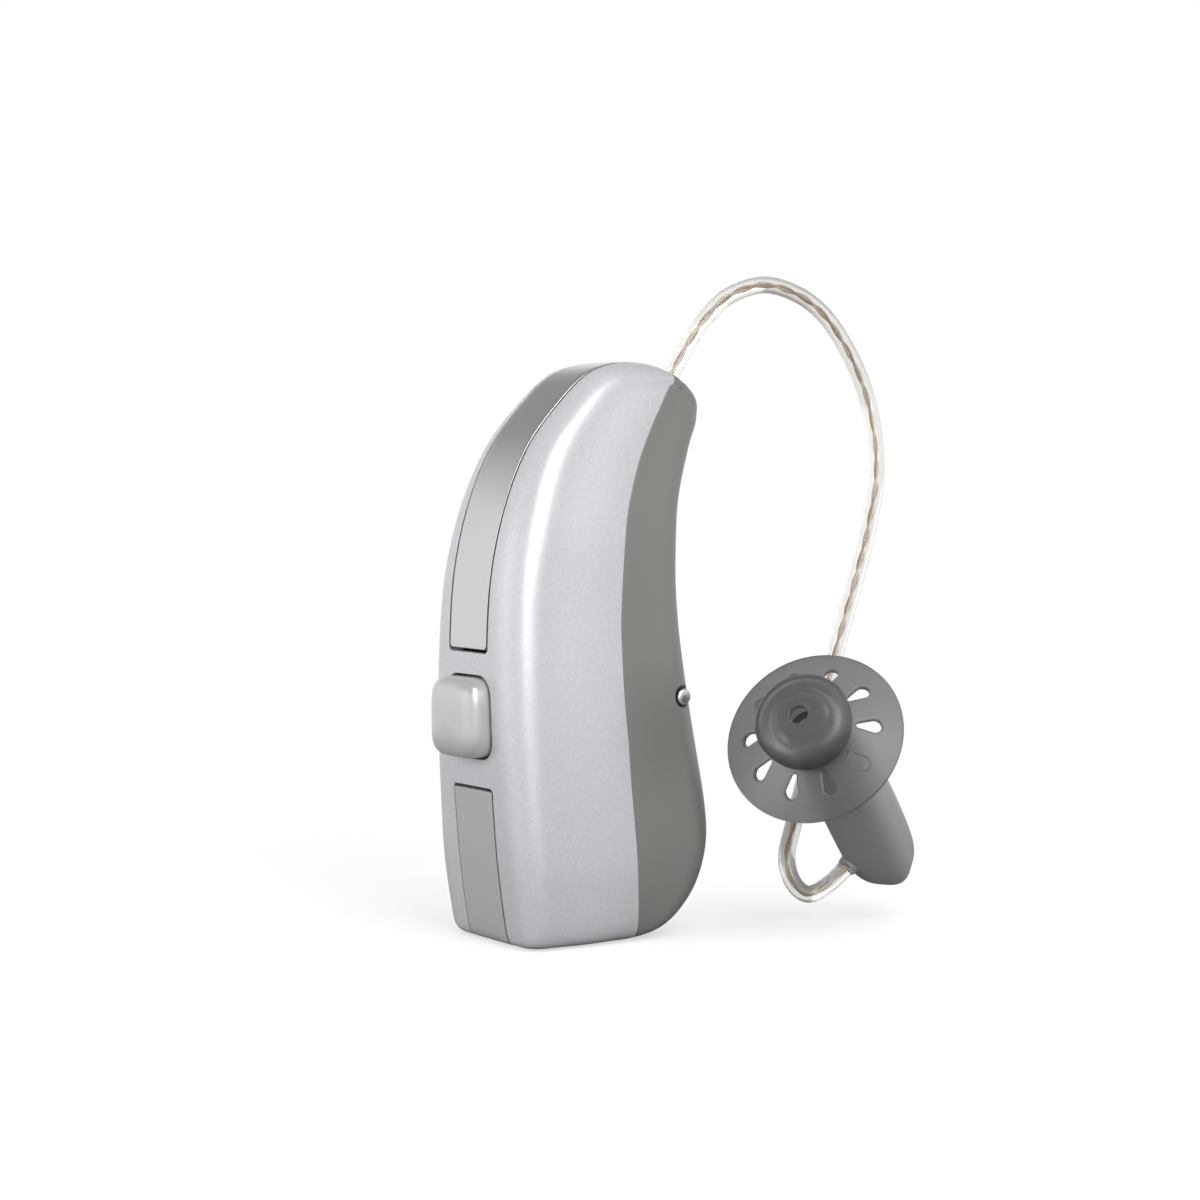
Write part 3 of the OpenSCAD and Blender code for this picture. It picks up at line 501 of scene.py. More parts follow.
def inside(points, loops):
    """Even-odd test of points against closed outlines."""
    hit = np.zeros(len(points), bool)
    for loop in loops:
        a, b = loop, np.roll(loop, -1, axis=0)
        for (x1, y1), (x2, y2) in zip(a, b):
            if y1 == y2:
                continue
            cut = (y1 > points[:, 1]) != (y2 > points[:, 1])
            hit ^= cut & (points[:, 0] < (x2 - x1) * (points[:, 1] - y1) / (y2 - y1) + x1)
    return hit


def frame_at(surface, p):
    """Point, two tangents and outward normal of a surface at plane points p."""
    e = 1e-3
    a, w = p[:, 0], p[:, 1]
    q = surface(a, w)
    ta = (surface(a + e, w) - surface(a - e, w)) / (2 * e)
    tw = (surface(a, w + e) - surface(a, w - e)) / (2 * e)
    n = np.cross(ta, tw)
    n /= np.linalg.norm(n, axis=1)[:, None] + 1e-12
    return q, ta, tw, n


def panel(surface, loops, depth, lip=0.06, net=0.3, flip=1, lift=0.0):
    """Closed shell piece: a patch of a surface in outlines, with rounded lips, walls and a back.
    Returns vertices, faces and the normals at the faces' corners, in mm."""
    loops = [loop[::-1] if (area(loop) > 0) != (i == 0) else loop for i, loop in enumerate(loops)]
    inner, rims = [], []
    for loop in loops:
        ahead = np.roll(loop, -1, axis=0) - np.roll(loop, 1, axis=0)
        ahead /= np.linalg.norm(ahead, axis=1)[:, None]
        left = np.column_stack([-ahead[:, 1], ahead[:, 0]])
        q, ta, tw, n = frame_at(surface, loop)
        along = ta * ahead[:, :1] + tw * ahead[:, 1:]
        along /= np.linalg.norm(along, axis=1)[:, None]
        into = ta * left[:, :1] + tw * left[:, 1:]
        into -= along * (into * along).sum(1)[:, None]
        into /= np.linalg.norm(into, axis=1)[:, None]
        step = into * lip
        aa, ww, aw = (ta * ta).sum(1), (tw * tw).sum(1), (ta * tw).sum(1)
        ra, rw = (ta * step).sum(1), (tw * step).sum(1)
        det = aa * ww - aw * aw
        shift = np.column_stack([(ra * ww - rw * aw) / det, (rw * aa - ra * aw) / det])
        inner.append(loop + shift)
        rims.append(into)
    lo, hi = inner[0].min(0), inner[0].max(0)
    xs, ys = np.arange(lo[0], hi[0], net), np.arange(lo[1], hi[1], net)
    grid = np.array([(x + (j % 2) * net / 2, y) for j, y in enumerate(ys) for x in xs])
    grid = grid[inside(grid, inner)]
    every = np.vstack(inner)
    keep = np.ones(len(grid), bool)
    for block in range(0, len(grid), 2000):
        part = grid[block:block + 2000]
        gaps = np.sqrt(((part[:, None, :] - every[None, :, :]) ** 2).sum(2)).min(1)
        keep[block:block + 2000] = gaps > net * 0.45
    points = np.vstack([every, grid[keep]])
    edges, base = [], 0
    for loop in inner:
        n = len(loop)
        edges += [(base + i, base + (i + 1) % n) for i in range(n)]
        base += n
    out = delaunay_2d_cdt([Vector(p) for p in points], edges, [], 0, 1e-6, True)
    flat = np.array([tuple(v) for v in out[0]])
    tri = np.array([f for f in out[2] if len(f) == 3])
    middle = flat[tri].mean(1)
    tri = tri[inside(middle, inner)]
    place = {}
    for i, sources in enumerate(out[3]):
        for source in sources:
            place[source] = i
    q, ta, tw, n = frame_at(surface, flat)
    n *= flip
    q = q + n * lift
    verts = [q, q - n * depth]
    count = len(flat)
    faces, normals = [], []
    for f in tri:
        faces.append(tuple(f))
        normals.append([n[k] for k in f])
        g = tuple(int(k) + count for k in f)
        faces.append(g)
        normals.append([-n[k] for k in f])
    top = 2 * count
    base = 0
    for loop, into in zip(inner, rims):
        m = len(loop)
        ids = [place[base + i] for i in range(m)]
        base += m
        nn, pp = n[ids], q[ids]
        centre = pp - nn * lip
        # Down the rounded lip, the wall and under the back: each ring's points and its faces' normals
        turns = [nn * math.cos(a) - into * math.sin(a) for a in np.radians((0, 30, 60, 90))]
        rings = [(centre + now * lip, before, now) for before, now in zip(turns, turns[1:])]
        rings += [(centre - into * lip - nn * (depth - lip), -into, -into), (None, -nn, -nn)]
        previous = ids
        for ring, before, now in rings:
            if ring is None:
                current = [k + count for k in ids]
            else:
                verts.append(ring)
                current = list(range(top, top + m))
                top += m
            for i in range(m):
                j = (i + 1) % m
                faces.append((previous[i], current[i], current[j], previous[j]))
                normals.append([before[i], now[i], now[j], before[j]])
            previous = current
    return np.vstack(verts), faces, normals


def face_normal(p):
    """Normal of a polygon, as long as twice its area."""
    return sum(np.cross(p[k] - p[0], p[(k + 1) % len(p)] - p[0]) for k in range(len(p)))


def shaded_object(name, parts):
    """One object from (vertices, faces, corner normals) in mm; faces are turned to their normals."""
    verts, faces, normals, base = [], [], [], 0
    for v, f, n in parts:
        verts.append(v)
        for face, corner in zip(f, n):
            corner = np.array(corner)
            if face_normal(v[list(face)]) @ corner.sum(0) < 0:
                face, corner = face[::-1], corner[::-1]
            faces.append([int(k) + base for k in face])
            normals += [tuple(c) for c in corner]
        base += len(v)
    mesh = bpy.data.meshes.new(name)
    mesh.from_pydata([tuple(p * MM) for p in np.vstack(verts)], [], faces)
    mesh.polygons.foreach_set("use_smooth", [True] * len(mesh.polygons))
    mesh.normals_split_custom_set(normals)
    mesh.update()
    return linked(name, mesh)


# Body pieces
GAP, SLIT, STRIP_W, COVER_T = 0.1, 0.17, 3.8, 0.45
BUTTON_Z, BUTTON_W, BUTTON_R = -6.705, 4.1, 1.0
COVER_LO, COVER_HI, STRIP_HI = 8.617, 16.302, 6.052
PIN_X, PIN_Z, PIN_D, PIN_Y = -0.279, -5.925, 0.75, BODY_T * 0.422
DRAWER_W, RECESS_D = 4.9, 1.15
NOTCH = GAP / BODY_H * LAST
WINDOW_R, COVER_R, CHEEK_R, STRIP_R = 0.3, 0.22, 0.4, 0.25
# Room that the front leaves over the pin for the drawer's knuckle, and the drawer's wall over the pin
KNUCKLE_ROOM, WALL_OVER_PIN = 1.04, 0.12
# Rounding of an edge; spacing of the points in a panel's net and round its outline
LIP, NET, CUT = 0.05, 0.33, 0.16
SKIN_T, SKIN_LIFT = 0.3, 0.015
# Angles between two faces up to which an edge is shaded smooth
CREASE, PILLOW_CREASE, CAD_CREASE = 50.0, 60.0, 32.0


def tongue(hi, wide, r):
    """Outline from the bottom edge up to a height, its upper corners rounded."""
    return round_corners([(0, wide), (hi, wide), (hi, -wide), (0, -wide)], (0, r, r, 0))


seam_u = np.linspace(0, LAST, 150)
seam_w = np.array([seam_reach(u) for u in seam_u])
left_seam = np.column_stack([up(seam_u), -seam_w])
right_seam = left_seam[::-1] * (1, -1)
strip_top = up(STRIP_HI + NOTCH)
half = STRIP_W / 2
strip_cut = tongue(strip_top, half, STRIP_R)
shell_outline = resample(np.vstack([left_seam, right_seam, strip_cut]), CUT)


def window(u0, u1, w, r):
    a, b = up(u0), up(u1)
    return resample(round_corners([(a, -w / 2), (b, -w / 2), (b, w / 2), (a, w / 2)], (r,) * 4), 0.14)


def button_hole(w, r):
    pad = round_corners([(-w / 2, -w / 2), (w / 2, -w / 2), (w / 2, w / 2), (-w / 2, w / 2)], (r,) * 4, 8)
    return resample(np.array([(up(spine_station(BUTTON_Z + a)), b) for a, b in resample(pad, 0.2)]), 0.14)


shell_parts = [panel(by_length(skin), [
    shell_outline, window(COVER_LO - NOTCH, COVER_HI + NOTCH, STRIP_W, WINDOW_R),
    button_hole(BUTTON_W + 2 * GAP, BUTTON_R + GAP)], WALL, LIP, NET)]
cover_piece = shaded_object("microphone_cover", [panel(
    by_length(skin), [window(COVER_LO, COVER_HI, STRIP_W - 2 * SLIT, COVER_R)], COVER_T, LIP)])

frame_half = total(seam_u) - seam_w
notch_top = up(front_station(PIN_Z + KNUCKLE_ROOM))
cut = DRAWER_W / 2 + GAP
drawer_cut = tongue(notch_top, cut, CHEEK_R)
frame_edge = np.column_stack([up(seam_u), -frame_half])
frame_outline = resample(np.vstack([frame_edge, frame_edge[::-1] * (1, -1), drawer_cut]), CUT)


def recess(side, d):
    """Outline of the pin's recess on the skin: where a bore along Y comes out."""
    loop = []
    guess = np.array([front_station(PIN_Z), 4.0])
    for k in range(28):
        angle = 2 * math.pi * k / 28
        goal = np.array([PIN_X + d / 2 * math.cos(angle), PIN_Z + d / 2 * math.sin(angle)])
        for _ in range(12):
            p = front_skin(guess[0], guess[1])[[0, 2]]
            e = 1e-4
            j = np.column_stack([(front_skin(guess[0] + e, guess[1])[[0, 2]] - p) / e,
                                 (front_skin(guess[0], guess[1] + e)[[0, 2]] - p) / e])
            guess = guess + np.linalg.solve(j, goal - p)
        loop.append((float(up(guess[0])), side * guess[1]))
    return np.array(loop)


front_parts = [panel(by_length(front_skin), [frame_outline, recess(-1, RECESS_D), recess(1, RECESS_D)],
                     WALL, LIP, NET, flip=-1)]

# Bottom faces of shell and frame, cut from the body's lowest section
BOTTOM = float(station(0.0)[1]) - 0.004
seam_low = float(seam_w[0])
side_lo = DRAWER_W / 2 + GAP


def bottom_plate(side, edge, corners):
    """Level plate that looks down, between an edge of the skin and the corners inside it."""
    def level(a, w):
        return np.stack([a, w, np.full(np.shape(a), BOTTOM)], -1)
    outline = np.vstack([edge, [(edge[-1, 0], side * side_lo)] + corners])
    return panel(level, [resample(outline, 0.2)], WALL, LIP, 0.5, flip=-1)


def skin_edge(surface, w0, w1):
    w = np.linspace(w0, w1, 40)
    return surface(np.zeros(40), w)[:, :2]


for side in (-1, 1):
    x_in = float(station_shares[2, 0] * BODY_H) + WALL + GAP
    shell_parts.append(bottom_plate(side, skin_edge(skin, side * half, side * seam_low),
                                    [(x_in, side * side_lo), (x_in, side * half)]))
    front_parts.append(bottom_plate(
        side, skin_edge(front_skin, side * side_lo, side * (float(total(0.0)) - seam_low)), []))

# Nose: the end face in the last section's plane, with the hole for the plug
nose = station(float(LAST))
nose_a, nose_b = nose[:2], nose[2:4]
nose_d = (nose_b - nose_a) / np.linalg.norm(nose_b - nose_a)
nose_n = np.array([-nose_d[1], nose_d[0]])


def nose_face(a, w):
    x, z = (nose_a[k] + nose_d[k] * a + nose_n[k] * 0.004 for k in (0, 1))
    return np.stack([x, w, z], -1)


PLUG_HOLE_R = 0.97
nose_half = float(total(float(LAST)))
turn_w = np.linspace(-nose_half, nose_half, 121)[:-1]
nose_run, nose_y = section(np.full(120, float(LAST)), turn_w)[2:]
nose_outline = np.column_stack([nose_run, np.sign(turn_w) * nose_y])
plug_run = float((np.array([PLUG_X, PLUG_Z]) - nose_a) @ nose_d)
plug_hole = np.array([(plug_run + PLUG_HOLE_R * math.cos(t), PLUG_HOLE_R * math.sin(t))
                      for t in np.arange(32) * math.pi / 16])
front_parts.append(panel(nose_face, [resample(nose_outline, 0.2), plug_hole], WALL))


def turned(profile, sides, close=False):
    """Lathe-turned piece about Z from (radius, height) pairs; returns vertices and faces."""
    verts = [(r * math.cos(2 * math.pi * j / sides), r * math.sin(2 * math.pi * j / sides), h)
             for r, h in profile for j in range(sides)]
    return np.array(verts, float), quads(len(profile), sides, close)


def squircle(sides, power):
    """Ring between a circle and a square of the same half width."""
    ring = []
    for j in range(sides):
        t = 2 * math.pi * (j + 0.5) / sides
        c, s = math.cos(t), math.sin(t)
        bulge = (abs(c) ** power + abs(s) ** power) ** (-1 / power)
        ring.append((bulge * c, bulge * s))
    return ring


def capped(rings, middles):
    """Closed form through rings of points, each end closed by a fan round its middle point."""
    sides, last = len(rings[0]), len(rings) - 1
    verts = [p for ring in rings for p in ring] + middles
    faces = quads(len(rings), sides)
    for first, middle in ((0, len(verts) - 2), (last * sides, len(verts) - 1)):
        faces += [(first + j, first + (j + 1) % sides, middle) for j in range(sides)]
    return np.array(verts, float), faces


def plain_normals(verts, faces, angle):
    """Corner normals that are smooth across shallow edges and sharp across steep ones."""
    own = np.array([face_normal(verts[list(f)]) for f in faces])
    unit = own / (np.linalg.norm(own, axis=1)[:, None] + 1e-15)
    at = {}
    for i, f in enumerate(faces):
        for k in f:
            at.setdefault(k, []).append(i)
    limit = math.cos(math.radians(angle))
    out = []
    for i, f in enumerate(faces):
        corner = []
        for k in f:
            near = [j for j in at[k] if unit[j] @ unit[i] > limit]
            n = own[near].sum(0)
            corner.append(n / (np.linalg.norm(n) + 1e-15))
        out.append(corner)
    return out


def cad_copy(name):
    """A CAD node's own mesh, its doubles merged, in mm."""
    bm = bmesh.new()
    bm.from_mesh(nodes[name].data)
    bmesh.ops.remove_doubles(bm, verts=bm.verts, dist=2e-7)
    bm.verts.ensure_lookup_table()
    verts = np.array([tuple(v.co) for v in bm.verts]) / MM
    faces = [tuple(v.index for v in f.verts) for f in bm.faces]
    bm.free()
    return verts, faces, plain_normals(verts, faces, CAD_CREASE)


def finished(verts, faces, angle):
    """Closed form with its faces turned outward, and the normals at their corners."""
    bm = bmesh.new()
    made = [bm.verts.new(v) for v in verts]
    for f in faces:
        bm.faces.new([made[k] for k in f])
    bm.verts.index_update()
    bmesh.ops.recalc_face_normals(bm, faces=bm.faces)
    faces = [tuple(v.index for v in f.verts) for f in bm.faces]
    bm.free()
    return verts, faces, plain_normals(verts, faces, angle)


# Drawer: the moulding's inside as built, under its two finished outer skins
strip_hi, strip_half = up(STRIP_HI), half - SLIT
wall_hi, wall_half = up(front_station(PIN_Z + WALL_OVER_PIN)), DRAWER_W / 2
drawer_parts = [cad_copy("battery_drawer")]
for surface, hi, wide, r, flip in (
        (skin, strip_hi, strip_half, 0.2, 1), (front_skin, wall_hi, wall_half, 0.05, -1)):
    outline = round_corners([(0.02, -wide), (hi, -wide), (hi, wide), (0.02, wide)], (0, r, r, 0))
    drawer_parts.append(panel(
        by_length(surface), [resample(outline, CUT)], SKIN_T, flip=flip, lift=SKIN_LIFT))

# Push button: a pillow of rounded squares, (half width, rise), its shoulder bright where it turns
BUTTON_FOOT_X, PAD_X, SQUARE = -10.875, -10.3, 4.6
button_profile = [(2.05, -0.5), (2.05, 0.5), (2.045, 0.66), (2.02, 0.8), (1.96, 0.94), (1.86, 1.07),
                  (1.72, 1.18), (1.54, 1.265), (1.32, 1.32), (1.08, 1.355), (0.8, 1.38), (0.45, 1.395),
                  (0.15, 1.4)]
pillow = capped([[(BUTTON_FOOT_X - rise, size * c, BUTTON_Z + size * s) for c, s in squircle(96, SQUARE)]
                 for size, rise in button_profile],
                [(BUTTON_FOOT_X - button_profile[k][1], 0, BUTTON_Z) for k in (0, -1)])
button_parts = [finished(*pillow, PILLOW_CREASE), cad_copy("push_button")]
# The built button's own pad shrinks into the finished one
inside_pad, pad_foot = button_parts[1][0], (PAD_X, 0, BUTTON_Z)
shown = inside_pad[:, 0] < PAD_X
inside_pad[shown] = (inside_pad[shown] - pad_foot) * (0.5, 0.9, 0.9) + pad_foot

silver_shell = shaded_object("silver_shell", shell_parts)
grey_front = shaded_object("grey_front", front_parts)
drawer = shaded_object("drawer_moulding", drawer_parts)
button = shaded_object("rocker_button", button_parts)

# Polyamide shell, sprayed with a metallic lacquer: fine flakes under a clear coat, slight orange peel
silver_mat = grained("silver_lacquer_sprayed", "#C5C6CA", "#CACBCE", 0.9, 0.001, 5.0, (0.34, 0.39), 0.35,
                     Coat_Weight=0.06, Coat_Roughness=0.3)
silver_tree, silver_shader = insides(silver_mat)
flake_place = put(silver_tree, "ShaderNodeTexCoord")
# Real flakes are 0.03 mm; drawn at 0.1 mm so that they show
flakes = put(silver_tree, "ShaderNodeTexVoronoi", [
    ("Vector", flake_place.outputs["Object"]), ("Scale", 1 / (0.1 * MM))])
flake_light = put(silver_tree, "ShaderNodeMapRange", [
    ("Value", flakes.outputs["Color"]), ("To Min", 0.93), ("To Max", 1.05)])
flake_mix = put(silver_tree, "ShaderNodeMix", [
    (0, 1.0), (6, silver_shader.inputs["Base Color"].links[0].from_socket), (7, flake_light.outputs[0])],
    data_type="RGBA", blend_type="MULTIPLY")
silver_tree.links.new(flake_mix.outputs[2], silver_shader.inputs["Base Color"])
# Polyamide moulded in a spark-eroded tool: even satin grain of about 0.1 mm
grey_mat = grained("grey_polyamide_spark_grain", "#807F7C", "#7B7A77", 0.12, 0.0035, 4.0, (0.36, 0.44), 0.2)
# Cover metallised in vacuum and lacquered: smooth and more mirror-like than the shell, with a faint haze
cover_mat = grained("cover_vacuum_metallised", "#D3D2D0", "#CDCCCA", 0.6, 0.0008, 3.0, (0.2, 0.26), 0.95,
                          Coat_Weight=0.2, Coat_Roughness=0.15)
# Drawer moulded in a slightly coarser grain, so its strip is duller than the cover
strip_mat = grained("drawer_polyamide_moulded", "#B0B0B0", "#AAAAAA", 0.14, 0.003, 3.5, (0.34, 0.42), 0.2)
# Button satin chromed over a blasted moulding: soft mirror with a grain that can just be seen
button_mat = grained("button_satin_chromed", "#C8C8C8", "#C0C0C0", 0.09, 0.0018, 2.0, (0.2, 0.28), 0.5)
for piece, mat, body, node, slot in (
        (silver_shell, silver_mat, "housing", "outer_shell", "silver_shell"),
        (grey_front, grey_mat, "housing", "front_frame", "grey_frame"),
        (cover_piece, cover_mat, "housing", "mic_cover", "cover_metallic"),
        (drawer, strip_mat, "battery_drawer", "battery_drawer", "drawer_grey"),
        (button, button_mat, "push_button", "push_button", "button_silver")):
    dress(piece, mat)
    stand_in(piece, body, node)

# Dome and receiver
DOME_AT, DOME_TILT, DOME_TURN = np.array([4.3, -9.35, -8.0]), math.radians(61), math.radians(213)
CASE_TILT, CASE_TURN, NECK = math.radians(50), math.radians(209), 0.75
CASE_W, CASE_T, CASE_LEN, CASE_SQUARE = 3.6, 3.2, 11.8, 3.2


def facing(tilt, turn):
    """Rotation that takes Z to the axis of that tilt and turn."""
    return np.array((Matrix.Rotation(turn, 3, "Z") @ Matrix.Rotation(tilt, 3, "Y")))


def placed(part, turn, at):
    verts, faces, normals = part
    return verts @ turn.T + at, faces, [[turn @ n for n in corner] for corner in normals]


dome_turn = facing(DOME_TILT, DOME_TURN)
case_turn = facing(CASE_TILT, CASE_TURN)
# Brim from its neck to its rim, its rise in between, and the crown's height
NECK_R, RIM_R, BRIM_LOW, BRIM_RISE, TOP = 2.1, 4.73, 0.27, 1.2, 3.3
SLOTS, FIRST_SLOT = 10, math.radians(27)


def brim_top(a, w):
    """Umbrella-shaped brim, from its rim up to the crown."""
    f = np.clip((np.hypot(a, w) - NECK_R) / (RIM_R - NECK_R), 0, 1)
    return np.stack([a, w, BRIM_LOW + BRIM_RISE * (1 - f ** 1.25)], -1)


def slot_outline(angle):
    """Vent slot: two rounded ends, wider outward."""
    r0, r1, a, b = 0.17, 0.37, 2.66, 3.34
    pts = [(b + r1 * math.cos(t), r1 * math.sin(t)) for t in np.linspace(-math.pi / 2, math.pi / 2, 9)]
    pts += [(a - r0 * math.cos(t), r0 * math.sin(t)) for t in np.linspace(math.pi / 2, -math.pi / 2, 7)]
    c, s = math.cos(angle), math.sin(angle)
    return np.array([(x * c - y * s, x * s + y * c) for x, y in pts])


circle = np.array([(math.cos(t), math.sin(t)) for t in np.linspace(0, 2 * math.pi, 121)[:-1]])
slots = [resample(slot_outline(FIRST_SLOT + 2 * math.pi * k / SLOTS), 0.12) for k in range(SLOTS)]
brim = panel(brim_top, [circle * RIM_R, circle[::2] * (NECK_R - 0.1)] + slots, 0.26, 0.11, 0.2)
# Crown as (radius, height), over its outside, under its edge, up its bore for the spout and out at its mouth
crown_profile = [(0.5, TOP - 0.04), (0.56, TOP), (1.3, TOP), (1.75, TOP - 0.03), (2.05, TOP - 0.11),
                 (2.28, TOP - 0.25), (2.43, TOP - 0.45), (2.5, TOP - 0.72), (2.49, TOP - 1.0), (2.4, 1.75),
                 (2.28, 1.55), (2.2, 1.4), (2.16, 1.2), (1.95, 1.2), (1.95, 1.45), (2.1, 1.75),
                 (2.16, TOP - 0.95), (2.12, TOP - 0.7), (1.98, TOP - 0.5), (1.7, TOP - 0.4), (1.52, TOP - 0.5),
                 (1.5, 0.0), (1.16, 0.0), (1.16, TOP - 0.5), (0.95, TOP - 0.4), (0.5, TOP - 0.38)]
crown_part = finished(*turned(crown_profile, 72, close=True), CREASE)
dome = shaded_object("soft_dome", [placed(brim, dome_turn, DOME_AT), placed(crown_part, dome_turn, DOME_AT)])

# Receiver: (share of its length, its thickness, its width, its middle's shift across)
case_rows = smooth_curve([(0.01, 0.78, 0.8, 0.05), (0.25, 0.94, 1.02, 0.13), (0.66, 1.0, 1.03, 0.12),
                          (0.88, 0.95, 0.94, 0.11), (0.97, 0.78, 0.74, 0.12), (1, 0.6, 0.5, 0.13)])
case_stations = [tuple(case_rows(u)) for u in np.linspace(0, 5, 61)]
z, a, b, y = case_stations[-1]
case_stations += [(z + 0.004 * (1 - k), a * k, b * k, y) for k in (0.8, 0.5, 0.2)]
case_form = capped([[(CASE_T * a / 2 * c, y * CASE_W + CASE_W * b / 2 * s, -z * CASE_LEN)
                     for c, s in squircle(64, CASE_SQUARE)] for z, a, b, y in case_stations],
                   [(0, 0, -case_stations[0][0] * CASE_LEN),
                    (0, case_stations[-1][3] * CASE_W, -case_stations[-1][0] * CASE_LEN)])
dome_axis = dome_turn @ np.array([0, 0, 1.0])
receiver = shaded_object("receiver_housing", [
    placed(finished(*case_form, CREASE), case_turn, DOME_AT - NECK * dome_axis)])
# Receiver housing moulded in grey polyamide, finely blasted: satin, without seams
receiver_mat = grained("receiver_polyamide_blasted", "#989998", "#929392", 0.1, 0.003, 3.0, (0.4, 0.48))
# Smoke-tinted silicone, moulded: light comes through it, so that it is darker where something is behind
dome_mat = grained("smoke_silicone_moulded", "#959595", "#8E8E8E", 0.8, 0.001, 2.5, (0.34, 0.42),
                         Transmission_Weight=0.82, IOR=1.41)
dress(receiver, receiver_mat)
dress(dome, dome_mat)
stand_in(receiver, "housing", "receiver_case")
stand_in(dome, "ear_dome", "ear_dome")

# Small and inner parts
# Hinge pin, its heads a little wider than its shaft and out to the skin; as (radius, place along it)
PIN_END, HEAD_R = 4.2, PIN_D / 2 + 0.05
pin_profile = [(0.004, -PIN_END), (HEAD_R * 0.8, 0.015 - PIN_END), (HEAD_R * 0.93, 0.05 - PIN_END),
               (HEAD_R, 0.12 - PIN_END), (HEAD_R, -PIN_Y - 0.06), (PIN_D / 2, -PIN_Y)]
pin_profile += [(r, -h) for r, h in reversed(pin_profile)]
pin_verts, pin_faces = turned(pin_profile, 36)
pin_faces += [tuple(range(36)), tuple(range(len(pin_verts) - 36, len(pin_verts)))]
pin_verts = pin_verts[:, [0, 2, 1]] * (1, 1, -1) + (PIN_X, 0, PIN_Z)
hinge_pin = shaded_object("hinge_pin", [finished(pin_verts, pin_faces, CREASE)])
# Turned steel pin, polished: bright with fine rings round its axis
pin_mat = grained("steel_pin_turned", "#F6F6F6", "#F0F0F0", 0.3, 0.0003, 1.5, (0.24, 0.3), 1.0)
pin_tree, pin_shader = insides(pin_mat)
pin_place = put(pin_tree, "ShaderNodeTexCoord")
pin_centre = put(pin_tree, "ShaderNodeMapping", [
    ("Vector", pin_place.outputs["Object"]), ("Location", (-PIN_X * MM, 0, -PIN_Z * MM))])
# Tool marks 0.06 mm apart; a wave's scale counts twenty bands to the unit
BANDS = 20
pin_rings = put(pin_tree, "ShaderNodeTexWave", [
    ("Vector", pin_centre.outputs[0]), ("Scale", 1 / (0.06 * MM) / BANDS)],
    wave_type="RINGS", rings_direction="Y")
pin_relief = put(pin_tree, "ShaderNodeBump", [
    ("Height", pin_rings.outputs[0]), ("Distance", 0.0004 * MM),
    ("Normal", pin_shader.inputs["Normal"].links[0].from_socket)])
pin_tree.links.new(pin_relief.outputs[0], pin_shader.inputs["Normal"])
dress(hinge_pin, pin_mat)
stand_in(hinge_pin, "housing", "drawer_pin")

# Deep-drawn nickel-plated steel: soft mirror, drawn upwards, so its grain is long in one direction
clad(grained("nickel_steel_deep_drawn", "#C9C8C4", "#BDBCB8", 0.08, 0.001, 1.2, (0.2, 0.32), 1.0, (1, 1, 0.15)),
     "cell_can", "cell_lid", "front_microphone", "rear_microphone", "receiver_motor", "switch_dome")
# Nickel-iron core rod: dull, slightly scaled
clad(grained("nickel_iron_annealed", "#8F8C88", "#7C7975", 0.1, 0.003, 0.8, (0.35, 0.5), 1.0), "telecoil_core")
# Rolled bronze leaf, gold plated: warm soft mirror with rolling lines
clad(grained("bronze_leaf_gold_plated", "#DDB765", "#D2A958", 0.06, 0.001, 1.0, (0.18, 0.3), 1.0, (1, 1, 0.2)),
     "contact_plus", "contact_minus", "plug_pins")
# Etched copper foil under a clear film: warm, with a slight tarnish that varies
clad(grained("copper_foil_etched", "#C58862", "#B4764F", 0.15, 0.0015, 1.4, (0.25, 0.4), 0.9, Coat_Weight=0.4),
     "antenna", "flex_strip")
# Ceramic chip capacitor: matt tan body
clad(grained("ceramic_fired", "#A98B66", "#9C7E5A", 0.06, 0.002, 0.6, (0.5, 0.65)), "capacitor")
# Glass-filled black nylon, moulded: matt, with glass fibres that lift the skin a little
clad(grained("black_nylon_glass_filled", "#26272A", "#2E2F32", 0.12, 0.004, 1.5, (0.45, 0.6), 0.0, (1, 1, 0.3)),
     "chassis", "plug_socket", "switch_base")
# Epoxy chip, transfer moulded: dead matt
clad(grained("black_epoxy_transfer_moulded", "#1B1B1D", "#232326", 0.07, 0.003, 0.9, (0.55, 0.7)),
     "signal_chip", "radio_chip")
# Soft nitrile rubber: matt black with a faint bloom
clad(grained("nitrile_rubber_moulded", "#1E1E1E", "#2B2B2B", 0.15, 0.002, 1.0, (0.6, 0.8), Sheen_Weight=0.2),
     "button_seal", "cell_grommet", "front_mic_gasket", "rear_mic_gasket")
# White acetal, moulded: waxy, slightly translucent
clad(grained("white_acetal_moulded", "#E4E3DE", "#DBDAD5", 0.2, 0.001, 1.0, (0.3, 0.4),
             Subsurface_Weight=0.2, Subsurface_Radius=(0.0004, 0.0003, 0.0002)), "wax_guard")
# Spout in the receiver's own grey, polished by its tool
clad(grained("spout_polyamide_polished", "#8B8C8B", "#848584", 0.3, 0.001, 1.5, (0.22, 0.3)), "sound_spout")
# Plug and boot are moulded in the receiver's grey
clad(receiver_mat, "wire_boot", "ear_plug")
